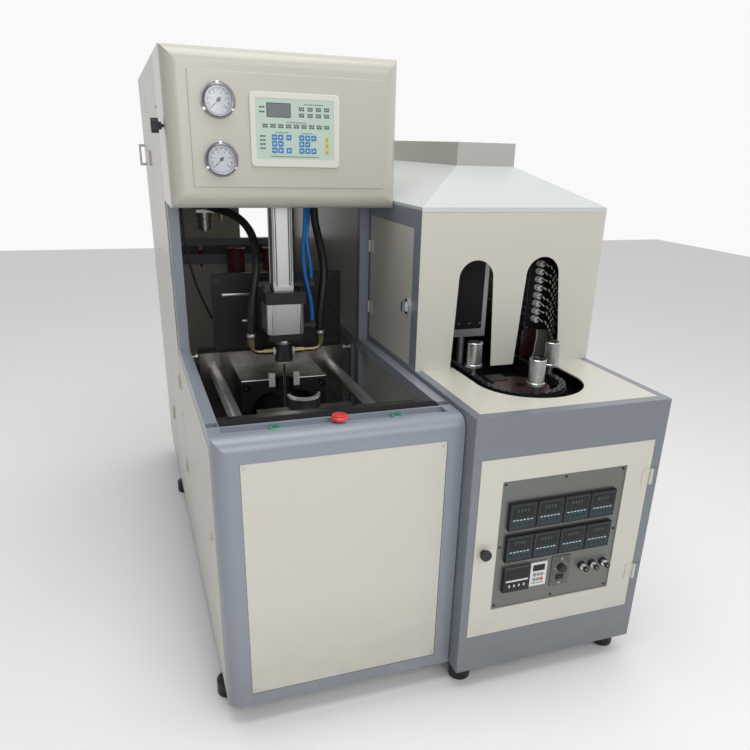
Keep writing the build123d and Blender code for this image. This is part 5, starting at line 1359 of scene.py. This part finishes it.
@dataclass(frozen=True)
class ControlPanel:
    """The membrane panel on the head: film, display, printed marks and keys."""

    left: float = 216.0
    right: float = 419.0
    bottom: float = 1341.0
    top: float = 1482.0
    floor: float = 519.0
    key_rows: tuple[float, ...] = (0.635, 0.742, 0.853)

    def at(self, across: float, down: float, lift: float = 0.2) -> Point:
        """Return the point at a share of the film's width and height, lifted off the film."""
        x = self.left + across * (self.right - self.left)
        z = self.top - down * (self.top - self.bottom)
        return (x, self.floor - lift, z)

    def build(self) -> None:
        """Lay the film and everything printed on it."""
        film = Shape().block(
            (self.left + 0.4, self.floor - 0.2, self.bottom + 0.4),
            (self.right - 0.4, self.floor + 0.1, self.top - 0.4),
            0.0,
        )
        film.piece("panel_film", MEMBRANE)
        self.display()
        self.marks()
        self.keys()

    def display(self) -> None:
        """Set the grey display in its dark frame."""
        middle = Spot(self.at(0.292, 0.19))
        plates("display_frame", [middle], (62.0, 33.6, 1.2, 0.35), PRINT)
        front = Spot(self.at(0.292, 0.19, 0.5))
        plates("display_window", [front], (57.0, 29.0, 0.8, 0.25), SCREEN)

    def marks(self) -> None:
        """Print plain bars where the panel has its labels."""
        small = [self.at(0.082, v) for v in (0.148, 0.222, 0.62, 0.687, 0.753, 0.823)]
        group = [self.at(u, v) for u in (0.58, 0.69, 0.797, 0.903) for v in (0.16, 0.263)]
        row = [self.at(0.117 + 0.0985 * k, 0.449) for k in range(9)]
        upper = [(x + dx, y, z + 2.6) for x, y, z in group + row for dx in (-4.9, 0.0, 4.9)]
        lower = [(x + dx, y, z - 2.4) for x, y, z in group + row for dx in (-3.4, 3.8)]
        lower += [(x + dx, y, z) for x, y, z in small for dx in (-3.4, 3.8)]
        plates("panel_marks", [Spot(point) for point in lower], (6.2, 4.0, 0.6, 0.15), PRINT)
        plates("panel_mark_tops", [Spot(point) for point in upper], (3.9, 4.4, 0.6, 0.15), PRINT)
        titles = [(0.735, 0.083, 9), (0.514, 0.385, 9), (0.32, 0.555, 6), (0.65, 0.56, 5)]
        dots = [
            Spot(self.at(u + (k - (count - 1) / 2) * 0.028, v))
            for u, v, count in titles
            for k in range(count)
        ]
        dots += [Spot(self.at(0.19 + 0.026 * k, 0.957)) for k in range(24)]
        plates("panel_title_bars", dots, (3.6, 2.6, 0.5, 0.15), PRINT)

    def keys(self) -> None:
        """Set the blue and yellow keys with their pale signs."""
        full, ends = (0, 1, 2), (0, 2)
        columns = {0.23: full, 0.309: full, 0.413: ends, 0.577: full, 0.655: full, 0.734: ends}
        centres = [(u, self.key_rows[row]) for u, rows in columns.items() for row in rows]
        keys = [Spot(self.at(u, v)) for u, v in centres]
        plates("blue_keys", keys, (13.6, 13.2, 2.4, 0.8), KEY_BLUE)
        for label, shift, size in (("tall", -1.6, (1.4, 6.4)), ("wide", 1.4, (5.0, 1.4))):
            signs = []
            for k, (u, v) in enumerate(centres):
                x, y, z = self.at(u, v, 1.0)
                turn = RIGHTWARD if k % 2 else UPWARD
                signs.append(Spot((x + shift, y, z), FORWARD, turn))
            plates(f"key_signs_{label}", signs, (*size, 0.6, 0.12), PALE_PRINT)
        yellow = [Spot(self.at(0.909, v)) for v in (0.653, 0.761, 0.868)]
        plates("yellow_keys", yellow, (8.8, 12.0, 1.2, 0.7), KEY_YELLOW)
        ticks = [Spot((s.at[0] + d, s.at[1] - 0.7, s.at[2])) for s in yellow for d in (-1.6, 1.6)]
        plates("yellow_key_signs", ticks, (1.2, 5.0, 0.3, 0.12), PRINT)


@dataclass(frozen=True)
class BlowStation:
    """The nozzle, its cylinders and the small fittings about them."""

    x: float = BLOWER_MIDDLE
    y: float = BLOW_LINE
    corners: tuple[tuple[int, int], ...] = ((-1, -1), (-1, 1), (1, -1), (1, 1))

    def build(self) -> None:
        """Dress the blow station."""
        self.nozzle()
        self.barrels()
        self.elbows()
        self.plate_fittings()
        self.arm_bolts()

    def nozzle(self) -> None:
        """Add the nozzle's bright top washer, its white collars and its lower lip."""
        top = Shape().ring((self.x, self.y, 819.6), UPWARD, 25.4, 15.0, 3.0, 0.8)
        top.ring((self.x, self.y, 761.4), UPWARD, 27.6, 14.0, 3.0, 0.8)
        top.piece("nozzle_washers", ZINC, Body.NOZZLE)
        collars = Shape()
        for side in (-1.0, 1.0):
            start = (self.x + side * 26.6, self.y, 794.0)
            collars.ring(start, (side, 0.0, 0.0), 12.4, 7.4, 5.4, 1.4)
        collars.piece("port_collars", WHITE_PLASTIC, Body.NOZZLE)

    def rods(self, name: str, reach: tuple[float, float], low: float, high: float, *shape: float) -> None:
        """Stand a bright rod at each corner, its reach sideways and forward from the middle."""
        bars = Shape()
        for sx, sy in self.corners:
            x, y = self.x + sx * reach[0], self.y + sy * reach[1]
            bars.rod((x, y, low), (x, y, high), *shape)
        bars.piece(name, CHROME)

    def barrels(self) -> None:
        """Add the stretch cylinder's tie rods, grooves and nuts, and the seal cylinder's strips."""
        self.rods("stretch_tie_rods", (27.6, 27.6), 994.0, 1481.0, 2.1, 0.3, 16)
        for name, reach, z, size in (
            ("stretch_tie_nuts", 25.4, 994.6, (5.0, 6.5, 3.0)),
            ("stretch_top_nuts", 21.0, 1493.6, (5.0, 5.0, 2.0)),
        ):
            points = [(self.x + sx * reach, self.y + sy * reach, z) for sx, sy in self.corners]
            nuts(name, [Spot(point, UPWARD) for point in points], size, ZINC)
        grooves = Shape()
        for offset in (-19.0, 19.0):
            for face, turn in ((-27.25, 0), (27.25, 0), (-27.25, 1), (27.25, 1)):
                low = [self.x + offset - 1.3, self.y + face - 0.2]
                high = [self.x + offset + 1.3, self.y + face + 0.2]
                if turn:
                    low = [self.x + face - 0.2, self.y + offset - 1.3]
                    high = [self.x + face + 0.2, self.y + offset + 1.3]
                grooves.block((*low, 996.0), (*high, 1479.0), 0.0)
        grooves.piece("stretch_barrel_grooves", BLACK_PLASTIC)
        self.rods("seal_cylinder_strips", (41.5, 53.2), 857.4, 946.6, 2.6, 0.4, 16)

    def elbows(self) -> None:
        """Cover the air elbows of both cylinders with their black plastic bodies."""
        bodies = Shape()
        for x, y, z, face in ((391.0, 665.0, 868.0, 355.5), (393.0, 680.0, 990.0, 327.5)):
            bodies.rod((face, y, z), (x + 8.6, y, z), 8.6, 1.4)
            bodies.rod((x, y, z - 8.0), (x, y, z + 17.4), 8.6, 1.4)
        bodies.piece("air_elbow_bodies", BLACK_PLASTIC)

    def plate_fittings(self) -> None:
        """Fit the pale bar, the exhaust silencer and the small elbows on the black back plate."""
        bar = Shape().block((150.4, 869.4, 925.4), (242.6, 872.0, 932.6), 0.6)
        bar.piece("back_plate_bar", ANODISED)
        profile = [(0, 0), (6.4, 0), (6.4, 7), (4.6, 8), (4.6, 12)]
        profile += [(7.4, 14), (6.4, 24), (5.0, 36), (2.2, 40), (0, 40)]
        silencer = Shape().turned((246, 862, 846), LEFTWARD, profile)
        silencer.block((243, 856, 838), (256, 870.6, 854), 1.2)
        silencer.piece("exhaust_silencer", CHROME)
        elbows = Shape()
        profile = [(0, 0), (7.5, 0), (7.5, 5), (5, 6), (5, 13), (0, 13)]
        for x, z in ((353, 938), (388, 944)):
            elbows.turned((x, 870.5, z), FORWARD, profile, 6)
        elbows.block((346, 856, 934), (372, 862, 943), 1.0)
        elbows.piece("back_plate_fittings", ZINC)

    def arm_bolts(self) -> None:
        """Bolt the arms and the back plate to the frame."""
        front = [Spot((x, 869.9, z)) for x in (134, 525) for z in (730, 855, 975)]
        nuts("back_plate_bolts", front, (6.5, 5.0, 2.0), BLACK_STEEL)
        arm = [Spot((x, 620 + dy, 980.9), UPWARD) for x in (252, 348) for dy in (0.0, 92.0)]
        nuts("upper_arm_bolts", arm, (5.0, 5.0, 2.0), BLACK_STEEL)


@dataclass(frozen=True)
class MouldClamp:
    """The plates, mould halves and bars in front of the blow station."""

    bolt_offset: float = 119.0
    bolt_height: float = 681.0
    neck_y: float = 410.0
    neck_circle: float = 37.0

    def build(self) -> None:
        """Dress the mould clamp."""
        profile = [(0, 0), (9.2, 0), (9.2, 9.0), (8.2, 10.0), (5.2, 10.0), (5.2, 4.0), (0, 4.0)]
        for name, y, facing, body in (
            ("mould_socket_bolts", 679.2, FORWARD, Body.MACHINE),
            ("front_mould_bolts", 395.8, BACKWARD, Body.CARRIAGE),
        ):
            bolts = Shape()
            for side in (-1.0, 1.0):
                foot = (BLOWER_MIDDLE + side * self.bolt_offset, y, self.bolt_height)
                bolts.turned(foot, facing, profile)
            bolts.piece(name, BLACK_STEEL, body)
        plate = [Spot((x, 208.9, z)) for x in (200, 400) for z in (420, 600)]
        nuts("front_plate_bolts", plate, (9.0, 7.0, 1.0), BLACK_STEEL, Body.CARRIAGE)
        self.ring_screws()

    def ring_screws(self) -> None:
        """Set the row of small screws that holds the neck ring."""
        turns = [math.radians(195 + 30 * k) for k in range(6)]
        reach, y = self.neck_circle, self.neck_y
        points = [(BLOWER_MIDDLE + reach * math.cos(t), y + reach * math.sin(t), 740.9) for t in turns]
        spots = [Spot(point, UPWARD) for point in points]
        screws("neck_ring_screws", spots, 3.0, 1.6, BLACK_STEEL, Body.CARRIAGE)


@dataclass(frozen=True)
class AirSupply:
    """The silencers' bands, the drain and the filter's rings and tap, at the blower's back."""

    silencer_x: tuple[float, float] = (333.0, 488.0)
    silencer_y: float = 1789.5
    drain_at: tuple[float, float] = (190.0, 1845.0)
    filter_at: tuple[float, float] = (137.0, 1100.0)

    def build(self) -> None:
        """Dress the air supply."""
        bands = Shape()
        for x in self.silencer_x:
            for z in (848.6, 946.0):
                bands.ring((x, self.silencer_y, z), UPWARD, 40.4, 37.5, 5.6, 1.0)
        bands.piece("silencer_bands", ZINC)
        self.drain()
        self.filter()

    def drain(self) -> None:
        """Hang the small red drain valve under the upper rear beam."""
        profile = [(0, 0), (8, 0), (8, 44), (6, 46), (6, 72), (3, 75), (0, 75)]
        red = Shape().turned((*self.drain_at, 938), DOWNWARD, profile)
        red.piece("drain_valve_body", DRAIN_RED)
        cap = Shape().rod((*self.drain_at, 956.6), (*self.drain_at, 936), 10.5, 1.0)
        for z in (898, 914):
            cap.ring((*self.drain_at, z), UPWARD, 9.0, 7.5, 4.0, 0.6)
        cap.piece("drain_valve_caps", ZINC)

    def filter(self) -> None:
        """Give the filter its rings and its brass tap."""
        rings = Shape()
        for z in (1120, 1138):
            rings.ring((*self.filter_at, z), UPWARD, 25.2, 23.0, 4.0, 1.0)
        rings.piece("filter_bowl_rings", ZINC)
        stem = [(0, 0), (10, 0), (10, 9), (7, 10), (7, 24), (11, 26), (11, 38), (7, 40), (7, 52), (0, 52)]
        tap = Shape().turned((164.5, 1100, 1186), RIGHTWARD, stem, 6)
        tap.rod((192, 1100, 1180), (192, 1100, 1150), 6.0, 0.8)
        tap.turned((192, 1100, 1152), DOWNWARD, [(0, 0), (9, 0), (9, 9), (5, 10), (5, 22), (0, 22)], 6)
        tap.block((180, 1092, 1170), (204, 1108, 1200), 2.0)
        tap.piece("filter_tap", BRASS)


@dataclass(frozen=True)
class HeatingTunnel:
    """Lamps, reflectors, chain and preform holders under the hood."""

    lamps: LampRow = LampRow()
    loop_x: float = 875.0
    loop_ends: tuple[float, float] = (218.0, 930.0)
    loop_radius: float = 110.0
    reflector_face: float = 529.2
    lamp_plate_face: float = 469.2

    def build(self) -> None:
        """Dress the tunnel."""
        self.chain()
        self.caps()
        self.loom()
        self.panels()
        self.holders()

    def loop(self, radius: float, z: float) -> list[Point]:
        """Return points round the chain's loop at a radius and a height."""
        points: list[Point] = []
        for end, start in ((self.loop_ends[0], math.pi), (self.loop_ends[1], 0.0)):
            for k in range(25):
                angle = start + math.pi * k / 24
                x = self.loop_x + radius * math.cos(angle)
                points.append((x, end + radius * math.sin(angle), z))
        return points

    def chain(self) -> None:
        """Lay the roller chain over its track."""
        carrier = threaded("chain", self.loop(self.loop_radius, 789.9), closed=True)
        sizes = {"Pitch": 25.4 * MM, "Plate Width": 19.0 * MM, "Plate Thickness": 1.8 * MM}
        grow("chain_links", carrier, TREES.roller_chain, sizes, CHAIN_STEEL)
        x, y = self.loop_x, self.loop_ends[0]
        # The drum cover's dark red is a painted reflection
        cover = Shape().rod((x, y, 774.8), (x, y, 777.4), 77.0)
        cover.piece("drum_cover", RED_PAINTED_REFLECTION)
        guard = Shape().block((806, 268, 777.2), (862, 318, 780.4), 0.8)
        guard.block((806, 268, 774.9), (862, 318, 778), 0.4)
        guard.piece("drum_guard_plate", GUARD_GREY)

    def caps(self) -> None:
        """Put the white ceramic caps and their metal clips on the lamp ends."""
        caps, clips = Shape(), Shape()
        profile = [(0, 0), (9.8, 0), (9.8, 9), (7.0, 10), (7.0, 13)]
        profile += [(9.4, 14), (9.4, 22.4), (4, 24), (0, 24)]
        x = self.lamps.x
        for z in self.lamps.heights():
            for wall, side in ((470.0, -1.0), (1004.0, 1.0)):
                caps.turned((x, wall, z), (0.0, side, 0.0), profile, 24)
                far = wall + side * 24
                low, high = sorted((far - side * 2, far + side * 5))
                clips.block((x - 3, low, z - 1.2), (x + 3, high, z + 1.2), 0.4)
        caps.piece("lamp_caps", CERAMIC)
        clips.piece("lamp_clips", ZINC)

    def loom(self) -> None:
        """Lay the dark loom that gathers the lamp wires at the right."""
        route = [(1117, 450, 1080), (1118, 448, 1000), (1117, 450, 900), (1118, 449, 840), (1119, 448, 744)]
        Shape().pipe(route, 5.0).piece("lamp_wire_loom", DARK_SLEEVE)

    def panels(self) -> None:
        """Add the arch panel's lip, the dark end plates, the screens with their lead, and screws."""
        lip = Shape().block((602, 334.6, 1226.5), (1162, 336.2, 1230.4), 0.4)
        lip.piece("arch_panel_lip", HOOD_WHITE)
        rows = [Spot((x, self.reflector_face, z)) for x in (820, 856, 892) for z in (880, 1170)]
        screws("reflector_screws", rows, 3.4, 1.6, ZINC)
        dark = Shape().block((806.4, self.reflector_face, 862.4), (897.6, 530.1, 1189.6), 0.0)
        dark.block((1016.4, self.lamp_plate_face, 862.4), (1119.6, 470.1, 1189.6), 0.0)
        dark.piece("dark_end_plates", INNER_BLACK)
        # A sheet at the lamp bank's foot whose dark red is a painted reflection
        red = Shape().block((1009, 471, 776), (1062, 473, 862.6), 0.3)
        red.piece("lower_red_reflection_screen", RED_PAINTED_REFLECTION)
        grey = Shape().block((1062, 471, 776), (1106.6, 473, 862.6), 0.3)
        grey.piece("lower_grey_screen", GREY_SCREEN)
        route = [(1062, 468.4, 864), (1066, 466, 842), (1058, 466, 815), (1062, 468, 790), (1056, 471, 778)]
        lead = Shape().pipe(route, 1.6)
        lead.piece("screen_lead", SLEEVE)
        ends = [Spot((x, self.lamp_plate_face, z)) for x in (1024, 1112) for z in (872, 1180)]
        screws("lamp_plate_screws", ends, 3.4, 1.6, ZINC)

    def holders(self) -> None:
        """Ring every preform holder's mouth and foot with a bright band."""
        spots = [(985, 256), (985, 491), (985, 726), (981, 961), (792, 1003)]
        spots += [(765, 774), (765, 539), (765, 304), (851, 111)]
        bands = Shape()
        for x, y in spots:
            bands.ring((x, y, 880.4), UPWARD, 22.3, 17.2, 4.2, 0.9)
            bands.ring((x, y, 819.6), UPWARD, 23.6, 21.0, 3.0, 1.0)
        bands.piece("holder_bands", CHROME)


@dataclass(frozen=True)
class InstrumentDoor:
    """The heater's front door with its plate of instruments."""

    plate_left: float = 690.0
    plate_right: float = 1055.0
    plate_low: float = 250.0
    plate_high: float = 626.0
    face: float = -48.0
    bezel_face: float = -58.0
    columns: tuple[float, ...] = (714.0, 793.5, 873.0, 952.5)
    rows: tuple[float, float] = (487.0, 393.0)
    speed_x: float = 892.0
    speed_height: float = 346.0
    selectors: tuple[float, float, float] = (962.0, 995.0, 1030.0)
    selector_height: float = 335.0

    def build(self) -> None:
        """Dress the door."""
        self.shells()
        self.plate_screws()
        self.controllers()
        self.counter()
        self.keypad()
        self.speed_plate()
        self.surrounds()
        self.levers()

    def shells(self) -> None:
        """Give the instruments their own coloured fronts over the plate's relief."""
        black, white, olive = Shape(), Shape(), Shape()
        for row in self.rows:
            for left in self.columns:
                low = (left - 0.3, self.bezel_face - 0.4, row - 0.3)
                black.tray(low, (left + 77.3, self.face, row + 76.3), 6.6, 0.8)
        black.tray((715.7, self.bezel_face - 0.4, 299.7), (794.3, self.face, 373.3), 3.0, 0.25)
        white.block((796.7, self.face - 5.4, 301.7), (847.3, self.face, 374.3), 1.0)
        olive.block((862.7, self.face - 2.4, 287.7), (921.3, self.face, 379.3), 0.6)
        black.piece("controller_housings", CASE_BLACK, Body.HEATER_DOOR)
        white.piece("keypad_housing", WHITE_PLASTIC, Body.HEATER_DOOR)
        olive.piece("speed_plate", OLIVE, Body.HEATER_DOOR)

    def plate_screws(self) -> None:
        """Fasten the plate round its edge."""
        left, right = self.plate_left + 9, self.plate_right - 9
        low, high = self.plate_low + 9, self.plate_high - 9
        middle, centre = (left + right) / 2, (low + high) / 2
        places = [(x, z) for x in (left, middle, right) for z in (low, high)]
        places += [(left, centre), (right, centre)]
        spots = [Spot((x, self.face + 0.1, z)) for x, z in places]
        screws("plate_screws", spots, 4.0, 1.8, BLACK_STEEL, Body.HEATER_DOOR)

    def controllers(self) -> None:
        """Give every controller its screen, its lower band and its printed dashes."""
        lift = self.bezel_face + 0.3
        screens, bands, dashes, lamps, knobs = [], [], [], [], []
        for row in self.rows:
            for left in self.columns:
                x = left + 38.5
                screens.append(Spot((x, lift + 0.1, row + 52)))
                bands.append(Spot((x, lift + 0.1, row + 20)))
                dashes += [Spot((x + d, lift - 0.2, row + 29)) for d in (-25, -15, -5, 5, 15, 25)]
                lamps += [Spot((x + d, lift - 0.4, row + 56)) for d in (-14, -5, 4, 13)]
                knobs += [Spot((x + d, lift - 0.2, row + 16)) for d in (-24, -8, 8, 24)]
        for name, spots, size, finish in (
            ("screens", screens, (60, 26, 2, 0.5), SCREEN_BLACK),
            ("bands", bands, (64, 26, 2, 0.4), SLATE_BAND),
            ("dashes", dashes, (6.4, 2.0, 0.4, 0.2), PALE_PRINT),
            ("digits", lamps, (4.6, 9.0, 0.6, 0.15), DIGIT),
            ("keys", knobs, (10.0, 8.0, 2.0, 0.9), BLACK_PLASTIC),
        ):
            plates("controller_" + name, spots, size, finish, Body.HEATER_DOOR)

    def counter(self) -> None:
        """Dress the counter at the lower left."""
        body = Body.HEATER_DOOR
        x, lift = 755.0, self.bezel_face - 0.2
        plates("counter_screen", [Spot((x, lift + 0.1, 352))], (62, 22, 2, 0.6), SCREEN_BLACK, body)
        plates("counter_strip", [Spot((x, lift + 0.1, 334))], (66, 5, 1, 0.8), ANODISED, body)
        wheels = [Spot((x - 22 + 14.5 * k, lift + 0.1, 318)) for k in range(4)]
        plates("counter_wheels", wheels, (11, 17, 1.5, 1.0), BLACK_PLASTIC, body)
        marks = [Spot((s.at[0], lift - 0.9, s.at[2] + 1)) for s in wheels]
        plates("counter_marks", marks, (4, 7, 0.6, 0.15), PALE_PRINT, body)

    def keypad(self) -> None:
        """Dress the drive's keypad: white bezel, dark display and six keys."""
        body = Body.HEATER_DOOR
        lift = self.face - 5.4
        plates("keypad_display", [Spot((822, lift, 358))], (36, 19, 1, 0.6), SCREEN_BLACK, body)
        keys = [Spot((811 + 11 * k, lift, z)) for k in range(3) for z in (337, 322)]
        plates("keypad_keys", keys[:-1], (8.4, 9.6, 1.6, 1.2), GREY_KEY, body)
        plates("keypad_stop_key", keys[-1:], (8.4, 9.6, 1.6, 1.2), RED_PLASTIC, body)
        line = [Spot((822, lift, 311))]
        plates("keypad_line", line, (34, 2.0, 0.5, 0.3), PRINT, body)

    def speed_plate(self) -> None:
        """Dress the speed plate: screws, dial marks and rocker."""
        body = Body.HEATER_DOOR
        lift = self.face - 2.4
        spots = [Spot((self.speed_x, lift - 0.2, z)) for z in (372, 296)]
        screws("speed_plate_screws", spots, 3.4, 1.6, CHROME, body)
        marks = []
        for k in range(9):
            angle = math.radians(225 - 33.75 * k)
            spot = around((self.speed_x, lift - 0.3, self.speed_height), 17, angle)
            marks.append(Spot(spot, FORWARD, around(ORIGIN, 1.0, angle)))
        plates("speed_marks", marks, (4.0, 1.0, 0.3, 0.15), PALE_PRINT, body)
        middle = [Spot((self.speed_x, lift - 0.3, 314))]
        plates("rocker_frame", middle, (24, 15, 2, 2.2), BLACK_PLASTIC, body)
        corners = [(x, lift - 2.4, z) for x, z in ((882, 309), (902, 309), (902, 319), (882, 319))]
        rocker = Shape().slab(corners, (0.0, -2.4, 0.0))
        rocker.piece("rocker", BLACK_PLASTIC, body)

    def surrounds(self) -> None:
        """Put a dark ring round every selector and a plain mark over it."""
        body = Body.HEATER_DOOR
        rings = Shape()
        for x in self.selectors:
            rings.ring((x, self.face + 0.2, self.selector_height), FORWARD, 12.2, 9.4, 6.7, 0.8)
        rings.piece("selector_rings", BLACK_STEEL, body, slot="chrome_steel")
        marks = [Spot((x, self.face + 0.1, 357)) for x in self.selectors]
        plates("selector_marks", marks, (14, 3, 0.5, 0.3), PRINT, body)

    def levers(self) -> None:
        """Build every selector's chrome neck and black grip in place of its plain lever."""
        neck = [(0, 0), (3.9, 0), (3.9, 14.15), (8.8, 14.2)]
        neck += [(8.8, 16.6), (6.4, 17.6), (5.8, 25.4), (0, 25.4)]
        grip = [(0, 0), (6.8, 0), (7.6, 0.8), (7.2, 8.4), (5.8, 9.8), (0, 9.8)]
        z = self.selector_height
        for x, body in zip(self.selectors, (Body.SELECTOR_1, Body.SELECTOR_2, Body.SELECTOR_3)):
            stem = Shape().turned((x, self.face + 8, z), FORWARD, neck)
            piece = stem.piece(f"{body.value}_stem", RIM_BRIGHT, body)
            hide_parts(body.value)
            top = Shape().turned((x, self.face - 17, z), FORWARD, grip, 24)
            top.piece(f"{body.value}_grip", BLACK_PLASTIC, body)
            line = [Spot((x - 2.4, self.face - 26.7, z + 2.4), FORWARD, (-1.0, 0.0, 1.0))]
            plates(f"{body.value}_line", line, (5.4, 1.3, 0.4, 0.3), PALE_PRINT, body)


@dataclass(frozen=True)
class SideDoor:
    """The cup that the latch of the heater's left side door sits in."""

    def build(self) -> None:
        """Set the cup in the door."""
        cup = [Spot((602.05, 414, 968), LEFTWARD, FORWARD)]
        plates("latch_cup", cup, (17, 44, 8.4, 0.9), BLACK_PLASTIC, Body.SIDE_DOOR)


class BlowMoulder:
    """The whole machine's looks."""

    def __init__(self, frame: dict) -> None:
        """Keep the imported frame."""
        self.nodes: dict[str, bpy.types.Object] = frame["nodes"]

    def dress_nodes(self) -> None:
        """Give every carried-over node its finish."""
        for name, node in self.nodes.items():
            for holder in node.material_slots:
                key = holder.material.name if holder.material else ""
                holder.material = self.finish_of(name, key).material()

    @staticmethod
    def finish_of(name: str, key: str) -> Finish:
        """Return a node's finish, its own where it has one and else its slot's."""
        own = {
            "air_filter": FILTER_BOWL,
            "chain_track": INNER_BLACK,
            "control_panel": BEZEL,
            "gauge_cases": FLANGE,
            "neck_inserts": INSERT,
            "neck_ring": RING_STEEL_PAINTED_HIGHLIGHT,
            "nozzle_fittings": BRASS,
            "blow_nozzle": NOZZLE_STEEL,
            "rear_mould_half": MOULD_STEEL_PAINTED_LIGHT_AND_SHADE,
            "front_mould_half": MOULD_STEEL_PAINTED_LIGHT_AND_SHADE,
            "side_door_latch": CHROME,
            "tie_bars": BAR_CHROME,
        }
        return own.get(name) or CAD_FINISHES.get(key.split(".")[0], CREAM)

    def build(self) -> None:
        """Build every sub-assembly in order."""
        FlexibleLines().build()
        LampWires().build()
        self.dress_nodes()
        for assembly in (
            Housing(),
            PressureGauges(),
            ControlPanel(),
            BlowStation(),
            MouldClamp(),
            AirSupply(),
            HeatingTunnel(),
            InstrumentDoor(),
            SideDoor(),
        ):
            assembly.build()
            LOG.info("%s finished", type(assembly).__name__)


def main() -> None:
    """Build the looks and hand the scene over."""
    logging.basicConfig(level=logging.INFO)
    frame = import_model()
    studio = Studio()
    studio.make_camera()
    BlowMoulder(frame).build()
    studio.dress()


if __name__ == "__main__":
    main()
